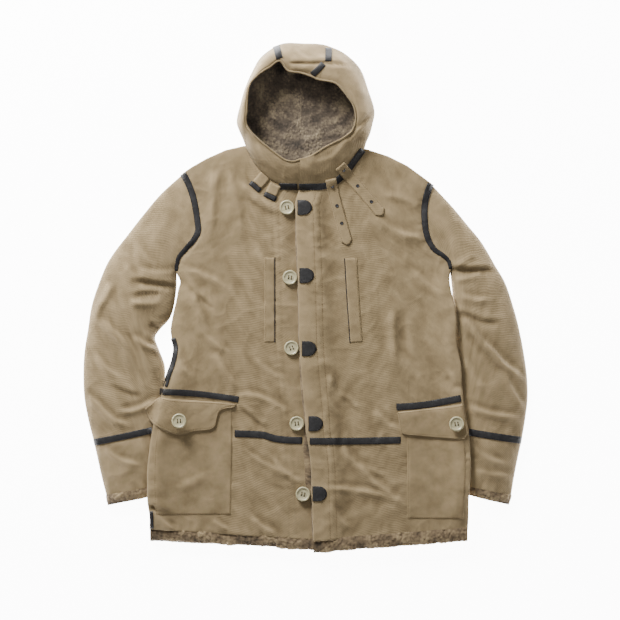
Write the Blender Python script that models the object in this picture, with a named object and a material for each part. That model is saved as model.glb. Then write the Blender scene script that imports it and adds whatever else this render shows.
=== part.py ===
"""Hooded military jacket with a pile lining, closed and laid flat on its back.

Metres, +Z up, the hood towards +Y and the wearer's left towards +X. The origin is
the middle of the underside. Tables are in millimetres: X across from near the front
opening, Y up the body from near the waist, Z up from the surface it lies on.
"""
import math

import bmesh
import bpy
import numpy as np
from mathutils import Vector
from mathutils.bvhtree import BVHTree

MM = 0.001
ORIGIN = (0.0, 2.5)          # middle of the outline, in the tables' X and Y

# Walls and gaps
SEAM_GAP = 0.3
BACK_WALL = 7.5              # shell cloth with its pile lining
FRONT_WALL = 8.0
FACING_WALL = 4.5            # front wall where only the facing lies, at the overlap
SEAT = 1.2                   # looseness of the fronts on the back, away from the seams
EDGE_PILE = 3.0              # pile that shows along the front edge
UNDERLAP = 34.0              # how far the lower front runs on under the upper one
ROUND_WIDTH = 14.0           # rolled edge along the side seams
ROUND_DROP = 3.5
TUCK_WIDTH = 55.0            # width of body that is lifted by the sleeve under its edge
SLIT = 1.6                   # half height of the flattened hollow in a sleeve
SETTLE_PASSES = 14           # rounds in which a laid piece sinks onto what is below it

# Trims
TAPE_WIDTH = 13.0
LEATHER = 1.5
WEBBING = 2.4
BUTTON_RADIUS = 14.8
BUTTON_HEIGHT = 5.0

# Body edges: x, y, lift by the sleeve below, share of the shoulder curve, share of the hem
LEFT_SIDE = (
    (-245, 253, 0, 1.0, 0), (-235, 234, 0, 0.86, 0), (-226, 210, 0, 0.7, 0),
    (-220, 184, 0, 0.55, 0), (-216, 156, 0, 0.42, 0), (-215, 138, 0, 0.32, 0),
    (-223, 121, 0, 0.23, 0), (-238, 104, 0, 0.16, 0), (-253, 86, 0, 0.1, 0),
    (-257, 72, 0, 0.05, 0), (-259, 58, 0, 0.02, 0), (-250, 38, 0, 0, 0),
    (-254, 20, 0, 0, 0), (-258, -2, 0, 0, 0), (-264, -28, 0, 0, 0),
    (-269, -58, 0, 0, 0), (-267, -76, 0, 0, 0), (-262, -96, 1, 0, 0),
    (-266, -122, 3, 0, 0), (-275, -148, 9, 0, 0), (-283, -176, 14, 0, 0),
    (-291, -204, 16, 0, 0), (-298, -232, 17, 0, 0), (-305, -260, 17, 0, 0),
    (-311, -300, 17, 0, 0), (-315, -340, 17, 0, 0.15), (-315, -372, 17, 0, 0.35),
    (-315, -402, 16, 0, 0.55), (-311, -432, 9, 0, 0.78), (-311, -458, 3, 0, 1.0),
)
RIGHT_SIDE = (
    (251, 233, 0, 1.0, 0), (246, 221, 0, 0.88, 0), (241, 204, 0, 0.76, 0),
    (238, 184, 0, 0.62, 0), (238, 163, 0, 0.48, 0), (240, 142, 0, 0.36, 0),
    (246, 120, 0, 0.25, 0), (258, 101, 0, 0.17, 0), (274, 90, 0, 0.1, 0),
    (286, 78, 0, 0.05, 0), (290, 62, 0, 0.02, 0), (287, 45, 3, 0, 0),
    (289, 25, 9, 0, 0), (294, 2, 13, 0, 0), (299, -22, 15, 0, 0),
    (301, -52, 16, 0, 0), (301, -78, 17, 0, 0), (304, -100, 17, 0, 0),
    (309, -126, 17, 0, 0), (311, -148, 17, 0, 0), (312, -172, 17, 0, 0),
    (315, -202, 17, 0, 0), (319, -232, 17, 0, 0), (325, -262, 17, 0, 0),
    (328, -300, 17, 0, 0), (329, -340, 17, 0, 0.15), (327, -372, 17, 0, 0.35),
    (325, -402, 16, 0, 0.55), (325, -432, 9, 0, 0.78), (324, -458, 3, 0, 1.0),
)
ARMHOLE_ROWS = 11            # the first rows of both tables are the armholes

# Shoulder and neck edges: x, y, share of the panel's width for that column lower down
LEFT_TOP = (
    (-245, 253, 0), (-238, 258, 0.037), (-226, 266, 0.092), (-198, 282, 0.185),
    (-160, 299, 0.28), (-121, 308, 0.37), (-111, 288, 0.45), (-99, 268, 0.53),
    (-84, 251, 0.61), (-66, 237, 0.69), (-44, 227, 0.77), (-28, 222, 0.84),
    (-13, 220, 0.9), (20, 219, 1),
)
RIGHT_TOP = (
    (251, 233, 0), (244, 238, 0.039), (232, 247, 0.096), (203, 268, 0.193),
    (165, 287, 0.3), (119, 302, 0.4), (109, 290, 0.46), (99, 274, 0.53),
    (86, 257, 0.61), (70, 240, 0.69), (51, 228, 0.78), (27, 222, 0.87),
    (3, 220, 0.95), (-13, 220, 1),
)
BACK_TOP = (
    (-245, 253, 0), (-238, 258, 0.02), (-226, 266, 0.05), (-198, 282, 0.1),
    (-160, 299, 0.17), (-121, 308, 0.28), (-98, 299, 0.4), (-35, 291, 0.51), (45, 292, 0.62),
    (119, 302, 0.74), (165, 287, 0.83), (203, 268, 0.9), (232, 247, 0.95), (244, 238, 0.98), (251, 233, 1),
)
BACK_NECK = slice(5, 10)     # the columns of the back that end at the neck

# Front edge, down the overlap: x, y, pile that shows past it
FRONT_EDGE = (
    (-13, 220, 1), (-15, 210, 1), (-20, 200, 1), (-19, 170, 2), (-17, 116, 3),
    (-14, 30, 2), (-12, -80, 2), (-10, -114, 3), (-7, -154, 4), (-3, -200, 4),
    (0, -228, 3), (2, -274, 4), (8, -300, 13), (12, -340, 14), (12, -366, 13),
    (14, -408, 3), (16, -482, 2),
)
HEM_DROP = 24.0              # fall of the hem from the side seams to the front edge

# Sleeves: outer edge x, y, inner edge x, y, height; the first row follows the armhole
LEFT_SLEEVE = (
    (-245, 253, -259, 58, 15), (-290, 212, -276, 30, 20),
    (-327, 168, -272, -8, 23), (-355, 132, -274, -38, 25),
    (-387, 90, -292, -60, 26), (-405, 56, -301, -76, 26),
    (-427, -6, -293, -100, 26), (-436, -60, -282, -130, 26),
    (-443, -105, -281, -158, 25), (-445, -150, -280, -186, 25),
    (-443, -196, -283, -212, 24), (-435, -240, -287, -234, 24),
    (-424, -284, -291, -256, 23), (-416, -320, -293, -296, 23),
    (-408, -356, -296, -336, 22), (-399, -391, -301, -372, 20),
)
RIGHT_SLEEVE = (
    (251, 233, 290, 62, 15), (293, 188, 306, 46, 20),
    (323, 152, 300, 12, 23), (353, 115, 295, -20, 25),
    (380, 69, 293, -52, 26), (401, 32, 292, -84, 26),
    (420, -26, 293, -118, 26), (430, -67, 295, -142, 26),
    (438, -110, 297, -168, 25), (444, -155, 299, -192, 25),
    (445, -198, 301, -214, 24), (440, -240, 304, -236, 24),
    (433, -281, 308, -258, 23), (425, -318, 309, -296, 23),
    (418, -354, 311, -334, 22), (412, -391, 313, -370, 20),
)
FOREARM_ROW = 12             # the taped seam across each forearm
LEFT_CUFF = ((-399, -391.6, -301, -372.6, 17), (-396, -411, -305, -392, 14))
RIGHT_CUFF = ((412, -391.6, 313, -370.6, 17), (407, -410, 319, -388, 14))
SLEEVE_EDGE = 8.0            # height of a sleeve's rolled edge
SLEEVE_RIM = 0.03            # extra points beside the edge, as a share of the width

# Hood over the neck seam: neck x, y, rim x, y, rim height
LEFT_CHIN = (
    (-13, 220, -11, 280, 42), (-28, 222, -25, 276, 43), (-44, 227, -42, 280, 44),
    (-66, 237, -64, 296, 46), (-84, 251, -82, 310, 48), (-99, 268, -97, 323, 49),
    (-111, 288, -108, 334, 50), (-121, 308, -116, 346, 51),
)
RIGHT_CHIN = (
    (119, 302, 93, 337, 50), (109, 290, 87, 331, 49), (99, 274, 79, 325, 48),
    (86, 257, 69, 319, 47), (70, 240, 54, 312, 46), (51, 228, 39, 304, 45),
    (27, 222, 23, 294, 44), (3, 220, 5, 284, 43), (-13, 220, -11, 280, 42),
)
# Hood that stands on the surface: outermost x, y, rim x, y, rim height
HOOD_WALL = (
    (-133, 340, -119, 360, 53), (-137, 360, -117, 378, 55), (-129, 394, -115, 410, 57),
    (-121, 422, -109, 432, 58), (-107, 454, -89, 452, 59), (-89, 484, -71, 463, 60),
    (-59, 506, -51, 475, 62), (-37, 512, -35, 456, 59), (-5, 511, -11, 452, 57),
    (25, 510, 11, 445, 57), (47, 505, 27, 438, 58), (79, 490, 61, 430, 59),
    (109, 460, 87, 400, 58), (125, 418, 97, 382, 57), (137, 378, 100, 362, 55),
    (133, 350, 98, 349, 53), (126, 326, 96, 343, 51),
)
HOOD_MIDDLE = (-8, 390)
HOOD_SHELL = 4.0
HOOD_FOOT = 24.0             # how far the hood's wall turns in under itself
HOOD_BELLY = 32.0            # height of its outermost line
LINING = 3.0
LINING_GAP = 0.9
HOOD_FLOOR = 8.0             # back run of the middle hood panel, with its pile
LEFT_HOOD_TAPE = 14          # sections where the hood's taped seams reach the rim
RIGHT_HOOD_TAPE = 18

# Soft ridges and troughs: x, y, x, y of the ends, half width, rise
LEFT_FRONT_FOLDS = (
    (-171, 270, -189, 130, 26, 3.0), (-157, 260, -131, 130, 22, 2.5),
    (-131, 232, -49, 178, 18, 2.5), (-225, 16, -191, -76, 20, 2.5),
    (-179, -108, -139, -176, 20, 2.5), (-131, -190, -39, -222, 18, 2.5),
    (-131, -215, -79, -256, 16, -2.5), (-63, -318, -12, -364, 18, 3.0),
    (-257, -373, -196, -346, 18, 2.5), (-310, -410, -275, -424, 14, -4.0),
)
RIGHT_FRONT_FOLDS = (
    (141, 164, 233, 120, 20, 3.0), (49, -153, 81, -198, 18, 2.5),
    (57, -166, 105, -228, 16, -2.5), (140, -220, 185, -261, 18, 2.5),
    (75, -296, 189, -404, 22, 3.5), (45, -376, 189, -404, 18, 2.5),
    (53, -410, 87, -456, 16, 2.5), (174, -24, 180, -126, 24, 2.5),
    (283, -152, 307, -178, 16, -2.5),
)
LEFT_SLEEVE_FOLDS = (
    (-345, 38, -257, 28, 18, -4.0), (-388, 30, -418, -39, 20, 3.5),
    (-407, -41, -344, -139, 22, 4.0), (-349, -4, -293, -4, 16, 3.0),
    (-310, -48, -284, -54, 16, -3.0), (-340, -74, -292, -102, 16, 3.0),
    (-431, -195, -355, -254, 20, 3.5), (-366, -224, -299, -200, 18, 3.0),
)
RIGHT_SLEEVE_FOLDS = (
    (293, 60, 373, 60, 18, -4.0), (301, -26, 385, -44, 18, -3.0),
    (315, -30, 437, -159, 22, 4.0), (327, -64, 396, -145, 18, -3.0),
    (330, -215, 425, -235, 20, 3.0),
)

# Tapes: centre line, width, the panels they lie on
TAPES = {
    "hood_tape_left": (((-57, 501), (-54, 488), (-51, 479)), 14, ("hood_left", "hood_centre")),
    "hood_tape_right": (((46, 500), (45, 474), (30, 458), (14, 449)), 13,
                        ("hood_right", "hood_centre")),
    "neck_tape_left": (((-53, 227), (-16, 226)), 13, ("hood_left", "front_left")),
    "neck_tape_right": (((-13, 226), (34, 227), (60, 236), (84, 259), (99, 279), (115, 300)),
                        11, ("hood_right", "front_right")),
    "waist_tape_left": (((-142, -267), (-85, -270), (-61, -277), (-6, -281)), 14,
                        ("front_left",)),
    "waist_tape_right": (((9, -282), (100, -282), (191, -280)), 14, ("front_right",)),
    "pocket_tape_left": (((-290, -183), (-211, -188), (-133, -199)), 12, ("front_left",)),
    "pocket_tape_right": (((181, -214), (249, -208), (311, -196)), 13, ("front_right",)),
    "sleeve_tape_left": (((-420, -283), (-360, -272), (-306, -260)), 13,
                         ("sleeve_upper_left", "sleeve_lower_left")),
    "sleeve_tape_right": (((428, -280), (375, -272), (328, -264)), 13,
                          ("sleeve_upper_right", "sleeve_lower_right")),
    "side_tape_left_upper": (((-261, -76), (-256, -96), (-260, -122), (-269, -148), (-277, -174)),
                             10, ("front_left",)),
    "side_tape_left_lower": (((-307, -422), (-306.5, -452)), 7, ("front_left",)),
}
# Chest pocket welts: centre line, width
WELTS = {
    "chest_welt_left": (((-72, 85), (-72, -85)), 20, ("front_left",)),
    "chest_welt_right": (((91, 84), (96, 0), (102, -85)), 24, ("front_right",)),
}
# Throat straps: centre line, width, stations of the holes along it
STRAPS = {
    "throat_strap_upper": (((68, 268), (99, 234), (127, 202), (155, 169)), 23, (0.1, 0.42, 0.74)),
    "throat_strap_lower": (((50, 242), (55, 220), (62, 192), (72, 155), (85, 109)), 22,
                           (0.12, 0.42, 0.68)),
}
STRAP_ENDS = {
    "strap_end_upper": (((-80, 249), (-97, 230)), 24),
    "strap_end_lower": (((-60, 231), (-69, 211)), 24),
}
BUCKLES = {
    "strap_buckle_upper": (((-99.5, 227.5), (-104, 222.5)), 27),
    "strap_buckle_lower": (((-70.5, 207.5), (-73, 202)), 27),
}

# Patch pockets: rows of y, left x, right x
POCKETS = {
    "pocket_left": (((-213, -287, -146), (-245, -292, -146), (-280, -299, -146),
                     (-320, -302, -146), (-360, -303, -147), (-400, -302, -148),
                     (-430, -299, -149)), "front_left"),
    "pocket_right": (((-222, 203, 309), (-260, 203, 317), (-300, 203, 320),
                      (-340, 203, 321), (-380, 203, 319), (-415, 203, 317),
                      (-438, 204, 316)), "front_right"),
}
# Pocket flaps: sections from the seam x, y to the free edge x, y
FLAPS = {
    "flap_left": (((-292, -193, -322, -216), (-272, -197, -306, -247), (-246, -199, -258, -270),
                   (-216, -201, -219, -264), (-186, -203, -184, -257), (-162, -206, -172, -223),
                   (-137, -209, -141, -215)),
                  ("front_left", "pocket_left", "sleeve_upper_left")),
    "flap_right": (((184, -224, 190, -264), (190, -223, 198, -270), (215, -220, 225, -273),
                    (248, -216, 258, -276), (282, -212, 290, -278), (308, -208, 314, -278),
                    (313, -205, 324, -266)),
                   ("front_right", "pocket_right", "sleeve_upper_right")),
}
FRONT_BUTTONS = ((-37, 185), (-31, 45), (-28, -96), (-17.5, -247), (-5, -388))
FRONT_TABS = ((-17, 185), (-13, 49), (-8, -97), (5, -247), (13, -387))
TAB_LENGTH = 30.0
TAB_DEPTH = 30.0
POCKET_BUTTONS = {"pocket_button_left": (-252, -241), "pocket_button_right": (301, -247)}

# Colours, linear, with roughness
LOOKS = {
    "cloth": ((0.36, 0.28, 0.18), 0.9),
    "pile": ((0.25, 0.20, 0.15), 1.0),
    "leather": ((0.02, 0.018, 0.02), 0.4),
    "button": ((0.6, 0.55, 0.44), 0.5),
}

built = {}


def smooth(value):
    """Ease from 0 to 1."""
    value = np.clip(value, 0.0, 1.0)
    return value * value * (3 - 2 * value)


def column(table, index):
    return np.array([row[index] for row in table], dtype=float)


def along_y(table, y, index):
    """Value of a table's column at a height y; the table runs downwards."""
    return np.interp(y, column(table, 1)[::-1], column(table, index)[::-1])


def look(name):
    """The material of that name, made on its first use."""
    found = bpy.data.materials.get(name)
    if found is None:
        found = bpy.data.materials.new(name)
        found.use_nodes = True
        surface = found.node_tree.nodes["Principled BSDF"]
        colour, roughness = LOOKS[name]
        surface.inputs["Base Color"].default_value = (*colour, 1)
        surface.inputs["Roughness"].default_value = roughness
    return found


def add_object(name, mesh, material):
    """Place a finished mesh in the scene as one named piece."""
    mesh.materials.append(look(material))
    mesh.shade_smooth()
    mesh.set_sharp_from_angle(angle=math.radians(40))
    piece = bpy.data.objects.new(name, mesh)
    bpy.context.collection.objects.link(piece)
    built[name] = piece
    return piece


def cloth(name, over, under, material="cloth", ring=False, holes=()):
    """Closed wall between two matching grids of points; cells in holes are cut through."""
    rows, columns = over.shape[:2]
    cells_across = columns if ring else columns - 1
    mesh = bmesh.new()
    shift = np.array([ORIGIN[0], ORIGIN[1], 0])
    top = [[mesh.verts.new((over[i, j] - shift) * MM) for j in range(columns)]
           for i in range(rows)]
    low = [[mesh.verts.new((under[i, j] - shift) * MM) for j in range(columns)]
           for i in range(rows)]
    kept = {(i, j) for i in range(rows - 1) for j in range(cells_across)} - set(holes)
    for i, j in kept:
        after = (j + 1) % columns
        corners = ((i, j), (i, after), (i + 1, after), (i + 1, j))
        mesh.faces.new([top[a][b] for a, b in corners])
        mesh.faces.new([low[a][b] for a, b in (corners[0], corners[3], corners[2], corners[1])])
        before = (j - 1) % columns if ring else j - 1
        follow = after if ring else j + 1
        sides = (((i - 1, j), corners[0], corners[1]), ((i, follow), corners[1], corners[2]),
                 ((i + 1, j), corners[2], corners[3]), ((i, before), corners[3], corners[0]))
        for neighbour, start, end in sides:
            if neighbour not in kept:
                mesh.faces.new((top[end[0]][end[1]], top[start[0]][start[1]],
                                low[start[0]][start[1]], low[end[0]][end[1]]))
    loose = [vert for vert in mesh.verts if not vert.link_faces]
    bmesh.ops.delete(mesh, geom=loose, context="VERTS")
    bmesh.ops.triangulate(mesh, faces=mesh.faces, quad_method="FIXED")
    bmesh.ops.recalc_face_normals(mesh, faces=mesh.faces)
    data = bpy.data.meshes.new(name)
    mesh.to_mesh(data)
    mesh.free()
    return add_object(name, data, material)


def with_height(plan, height):
    """Add a height to each point of a plan grid."""
    return np.dstack([plan, height])


def relief(x, y, folds):
    """Height of the ridges and troughs of a fold table at each point."""
    total = np.zeros_like(x)
    for x0, y0, x1, y1, half_width, rise in folds:
        length = math.hypot(x1 - x0, y1 - y0)
        ux, uy = (x1 - x0) / length, (y1 - y0) / length
        on = (x - x0) * ux + (y - y0) * uy
        off = (x - x0) * uy - (y - y0) * ux
        beyond = np.maximum(np.maximum(-on, on - length), 0)
        away = np.clip((off ** 2 + beyond ** 2) / half_width ** 2, 0, 1)
        total += rise * (1 - away) ** 2
    return total


def body_lift(x, y):
    """How far the body is raised by the sleeves tucked under its sides."""
    left = along_y(LEFT_SIDE, y, 2) * (1 - smooth((x - along_y(LEFT_SIDE, y, 0)) / TUCK_WIDTH))
    right = along_y(RIGHT_SIDE, y, 2) * (1 - smooth((along_y(RIGHT_SIDE, y, 0) - x) / TUCK_WIDTH))
    return left + right


def rolled(distance, drop):
    """Drop of a rolled edge at a distance in from it."""
    inward = np.clip(1 - distance / ROUND_WIDTH, 0, 1)
    return drop * (1 - np.sqrt(1 - inward ** 2))


def panel_plan(side, top, other):
    """Rows from a side edge to the other edge; the first rows follow the top curve."""
    share = column(top, 2)[None, :, None]
    curve = np.array([row[:2] for row in top], dtype=float)
    first = np.array([side[0][:2], other[0]], dtype=float)
    bend = curve - (first[0] * (1 - share[0]) + first[1] * share[0])
    start = np.array([row[:2] for row in side], dtype=float)[:, None, :]
    end = np.array(other, dtype=float)[:, None, :]
    follow = column(side, 3)[:, None, None]
    return start * (1 - share) + end * share + follow * bend[None]


def front_end_rows(side, top, reach):
    """Front edge points, one for each row of the side table."""
    drop = side[0][1] - top[-1][1]
    rows = []
    for _, y, _, follow, settle in side:
        at = y - drop * follow - HEM_DROP * settle
        rows.append((float(along_y(FRONT_EDGE, at, 0)) + reach, at))
    rows[0] = top[-1][:2]
    return rows


def side_distance(plan):
    """Distance of each grid point from the side edge of its row."""
    return np.linalg.norm(plan - plan[:, :1], axis=2)


def front_seat(plan, pieces):
    """Underside of a front that lies on the pieces below it, a little loose inside."""
    return clear_heights(pieces, plan) + SEAT * smooth(side_distance(plan) / 25)


def make_back():
    plan = panel_plan(LEFT_SIDE, BACK_TOP, [row[:2] for row in RIGHT_SIDE])
    x, y = plan[..., 0], plan[..., 1]
    near = np.minimum(side_distance(plan), side_distance(plan[:, ::-1])[:, ::-1])
    lift = body_lift(x, y)
    under = lift + rolled(near, ROUND_DROP)
    cloth("back", with_height(plan, lift + BACK_WALL), with_height(plan, under))


def make_lower_front():
    plan = panel_plan(LEFT_SIDE, LEFT_TOP, front_end_rows(LEFT_SIDE, LEFT_TOP, UNDERLAP))
    x, y = plan[..., 0], plan[..., 1]
    under = front_seat(plan, ("back",))
    inward = smooth((x - along_y(FRONT_EDGE, y, 0) + 22) / 18)
    wall = FRONT_WALL + (FACING_WALL - FRONT_WALL) * inward
    over = under + wall + relief(x, y, LEFT_FRONT_FOLDS) * (1 - inward)
    over -= rolled(side_distance(plan), ROUND_DROP)
    cloth("front_left", with_height(plan, over), with_height(plan, under))


def make_upper_front():
    plan = panel_plan(RIGHT_SIDE, RIGHT_TOP, front_end_rows(RIGHT_SIDE, RIGHT_TOP, 0))
    x, y = plan[..., 0], plan[..., 1]
    under = front_seat(plan, ("back", "front_left", "front_edge_pile"))
    over = under + FRONT_WALL + relief(x, y, RIGHT_FRONT_FOLDS)
    over -= rolled(side_distance(plan), ROUND_DROP)
    over -= 2.5 * (1 - smooth((x - along_y(FRONT_EDGE, y, 0)) / 16))
    cloth("front_right", with_height(plan, over), with_height(plan, under))


def make_front_edge_pile():
    """Pile of the upper front's facing, which shows past its edge."""
    rows = []
    for y in np.linspace(FRONT_EDGE[2][1] - 8, FRONT_EDGE[-1][1] + 8, 24):
        edge = float(along_y(FRONT_EDGE, y, 0))
        shows = float(along_y(FRONT_EDGE, y, 2))
        rows.append([(edge + x, y) for x in (-shows, 2, 16, UNDERLAP - 4)])
    plan = np.array(rows)
    laid_on("front_edge_pile", plan, ("back", "front_left"), EDGE_PILE, "pile")


def hem_strip(name, side, top, reach, low, high, fall):
    """Band of pile that hangs below a panel's hem."""
    other = front_end_rows(side, top, reach)
    edge = panel_plan(side, top, other)[-1]
    steps = (0.4, 0.6 * fall, fall)
    plan = np.array([edge - np.array([0, step]) for step in steps])
    plan[:, 0, 0] += math.copysign(3, -side[0][0])
    lift = body_lift(plan[..., 0], np.maximum(plan[..., 1], side[-1][1]))
    thin = np.array([0, 0.6, 1.6])[:, None]
    cloth(name, with_height(plan, lift + high - thin), with_height(plan, lift + low + thin),
          "pile")


def make_hem():
    hem_strip("hem_pile_left", LEFT_SIDE, LEFT_TOP, UNDERLAP, 9.3, 13.2, 22)
    hem_strip("hem_pile_right", RIGHT_SIDE, RIGHT_TOP, 0, 17.5, 22.0, 25)
    edge = panel_plan(LEFT_SIDE, BACK_TOP, [row[:2] for row in RIGHT_SIDE])[-1]
    bow = HEM_DROP * np.sin(np.linspace(0, math.pi, len(edge)))
    plan = np.array([edge - np.array([0, 0.4]), edge - np.stack([bow * 0, 10 + bow * 0.5], 1),
                     edge - np.stack([bow * 0, 18 + bow], 1)])
    plan[:, 0, 0] += 4
    plan[:, -1, 0] -= 4
    low = np.full(plan.shape[:2], 0.0)
    cloth("hem_pile_back", with_height(plan, low + 7.0 - np.array([0, 0.5, 2])[:, None]),
          with_height(plan, low), "pile")


def sleeve_rings(rows, armhole, folds, head):
    """Outer and inner rings of a flattened sleeve; its head follows the armhole."""
    hole = np.array([row[:2] for row in armhole], dtype=float)
    steps = np.r_[0, np.cumsum(np.linalg.norm(np.diff(hole, axis=0), axis=1))]
    stations = steps / steps[-1]
    across = np.r_[0, SLEEVE_RIM, stations[1:-1], 1 - SLEEVE_RIM, 1]
    below = stations[1:-1][::-1]
    ring = np.r_[across, below]
    is_top = np.r_[np.ones(len(across), bool), np.zeros(len(below), bool)]
    curve = np.stack([np.interp(ring, stations, hole[:, 0]),
                      np.interp(ring, stations, hole[:, 1])], axis=1)
    chord = hole[0] * (1 - ring[:, None]) + hole[-1] * ring[:, None]
    outward = math.copysign(1.0, hole[0, 0])
    outer, inner = [], []
    for k, (x0, y0, x1, y1, height) in enumerate(rows):
        follow = 1.0 if head and k == 0 else 0.0
        line = np.array([x0, y0]) * (1 - ring[:, None]) + np.array([x1, y1]) * ring[:, None]
        plan = line + follow * (curve - chord + np.array([outward, 0]))
        crown = SLEEVE_EDGE + (height - SLEEVE_EDGE) * (4 * ring * (1 - ring)) ** 0.6
        fold = relief(plan[:, 0], plan[:, 1], folds) * (4 * ring * (1 - ring))
        z = np.where(is_top, crown + fold * (1 - follow), 0.0)
        outer.append(np.column_stack([plan, z]))
        core = np.clip(ring, 0.09, 0.91)
        at = np.array([x0, y0]) * (1 - core[:, None]) + np.array([x1, y1]) * core[:, None]
        bend = np.stack([np.interp(core, ring[is_top], (curve - chord)[is_top, 0]),
                         np.interp(core, ring[is_top], (curve - chord)[is_top, 1])], axis=1)
        middle = 0.5 * (SLEEVE_EDGE + (height - SLEEVE_EDGE) * (4 * core * (1 - core)) ** 0.6)
        thick = SLIT * (4 * core * (1 - core)) ** 0.5
        spread = np.where(is_top, thick, -thick)
        place = at + follow * (bend + np.array([outward, 0]))
        inner.append(np.column_stack([place, middle + spread]))
    return np.array(outer), np.array(inner)


def trimmed(rings, end, gap):
    """Move one end ring along the sleeve so that a seam gap stays."""
    rings = rings.copy()
    inside = 1 if end == 0 else -2
    step = rings[inside] - rings[end]
    size = np.linalg.norm(step, axis=1, keepdims=True)
    rings[end] = rings[end] + step * gap / np.maximum(size, 1)
    return rings


def make_sleeve(side, table, cuff, armhole, folds):
    rows = armhole[:ARMHOLE_ROWS]
    outer, inner = sleeve_rings(table[:FOREARM_ROW + 1], rows, folds, True)
    cloth(f"sleeve_upper_{side}", trimmed(outer, -1, 0.2), trimmed(inner, -1, 0.2), ring=True)
    outer, inner = sleeve_rings(table[FOREARM_ROW:], rows, folds, False)
    cloth(f"sleeve_lower_{side}", trimmed(outer, 0, 0.2), trimmed(inner, 0, 0.2), ring=True)
    outer, inner = sleeve_rings(cuff, rows, folds, False)
    cloth(f"cuff_pile_{side}", outer, inner, "pile", ring=True)


def inward(point, distance):
    """A plan point moved towards the middle of the hood."""
    step = np.array(HOOD_MIDDLE, dtype=float) - point
    return point + step * distance / np.linalg.norm(step)


def wall_section(row):
    """Outer and inner points of the standing hood wall, and both faces of its lining."""
    edge, rim, top = np.array(row[:2], float), np.array(row[2:4], float), float(row[4])
    near, far = edge * 0.65 + rim * 0.35, edge * 0.25 + rim * 0.75
    shell = HOOD_SHELL
    outer = ((inward(edge, HOOD_FOOT), 0), (inward(edge, 8), 5), (inward(edge, 1), 17),
             (edge, HOOD_BELLY), (near, top - 5), (far, top + 2), (rim, top))
    inner = ((inward(edge, HOOD_FOOT), HOOD_FLOOR), (inward(edge, 13), 10),
             (inward(edge, 6), 19), (inward(edge, shell), HOOD_BELLY),
             (inward(near, 1), top - 5 - shell), (far, top + 2 - shell), (rim, top - shell))
    gap = LINING_GAP
    face = ((inward(edge, HOOD_FOOT + 2), HOOD_FLOOR + gap), (inward(edge, 14.5), 12),
            (inward(edge, 7), 20), (inward(edge, shell + 0.8), HOOD_BELLY),
            (inward(near, 1.6), top - 5 - shell - gap), (far, top + 2 - shell - gap),
            (rim, top - shell - gap))
    pile = ((inward(edge, HOOD_FOOT + 6), HOOD_FLOOR + gap + LINING), (inward(edge, 18), 15),
            (inward(edge, 11), 21), (inward(edge, shell + 4.2), HOOD_BELLY),
            (inward(near, 4.4), top - 8 - shell - gap), (far, top - 1 - shell - gap),
            (rim, top - shell - gap - LINING))
    return outer, inner, face, pile


def chin_section(row):
    """The same for the hood where it stands on the neck seam."""
    neck, rim, top = np.array(row[:2], float), np.array(row[2:4], float), float(row[4])
    neck = inward(neck, 0.6)
    low, seam, shell = BACK_WALL + SEAM_GAP + 0.4, 19.0, HOOD_SHELL

    def at(share):
        return neck * (1 - share) + rim * share

    def crown(share):
        return seam + (top - seam) * math.sin(share * math.pi / 2)

    outer = ((at(0), low), (at(0), 13), (at(0), seam), (at(0.2), crown(0.2)),
             (at(0.45), crown(0.45)), (at(0.75), crown(0.75)), (rim, top))
    inner = ((inward(at(0), shell), low), (inward(at(0), shell), 11),
             (inward(at(0), shell), 15), (inward(at(0.2), 2), crown(0.2) - shell),
             (at(0.45), crown(0.45) - shell), (at(0.75), crown(0.75) - shell),
             (rim, top - shell))
    gap = LINING_GAP
    face = ((inward(at(0.72), 8), HOOD_FLOOR + gap), (at(0.55), 14), (at(0.5), 20),
            (at(0.5), 25), (at(0.56), crown(0.5) - shell - gap),
            (at(0.78), crown(0.75) - shell - gap), (rim, top - shell - gap))
    pile = ((inward(at(0.8), 11), HOOD_FLOOR + gap + LINING), (at(0.63), 15), (at(0.58), 20),
            (at(0.58), 24), (at(0.62), crown(0.5) - shell - gap - LINING),
            (at(0.8), crown(0.75) - shell - gap - LINING), (rim, top - shell - gap - LINING))
    return outer, inner, face, pile


def section_points(points):
    return [[plan[0], plan[1], z] for plan, z in points]


def trimmed_columns(grid, neighbour_grid):
    """Draw a panel's end sections in, so that a seam gap stays."""
    grid = grid.copy()
    for end, inside in ((0, 1), (-1, -2)):
        step = neighbour_grid[:, inside] - neighbour_grid[:, end]
        size = np.linalg.norm(step, axis=1, keepdims=True)
        grid[:, end] = grid[:, end] + step * 0.25 / np.maximum(size, 1)
    return grid


def make_hood():
    left = [chin_section(row) for row in LEFT_CHIN]
    wall = [wall_section(row) for row in HOOD_WALL]
    right = [chin_section(row) for row in RIGHT_CHIN]
    sections = left + wall + right
    faces = [np.array([section_points(section[kind]) for section in sections]).transpose(1, 0, 2)
             for kind in range(4)]
    outer, inner, face, pile = faces
    last = len(sections) - 1
    for name, start, end in (("hood_left", 0, LEFT_HOOD_TAPE),
                             ("hood_centre", LEFT_HOOD_TAPE, RIGHT_HOOD_TAPE),
                             ("hood_right", RIGHT_HOOD_TAPE, last)):
        part = outer[:, start:end + 1], inner[:, start:end + 1]
        cloth(name, trimmed_columns(part[0], part[0]), trimmed_columns(part[1], part[1]))
    make_bowl("hood_lining", face[:, :-1], pile[:, :-1])
    floor = [inward(np.array(row[:2], float), HOOD_FOOT + 0.5) for row in HOOD_WALL]
    neck = [np.array([x, y + 0.5]) for x, y, _ in BACK_TOP[BACK_NECK][1:-1]]
    make_plate("hood_back", floor + neck[::-1], 0, HOOD_FLOOR)


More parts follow.
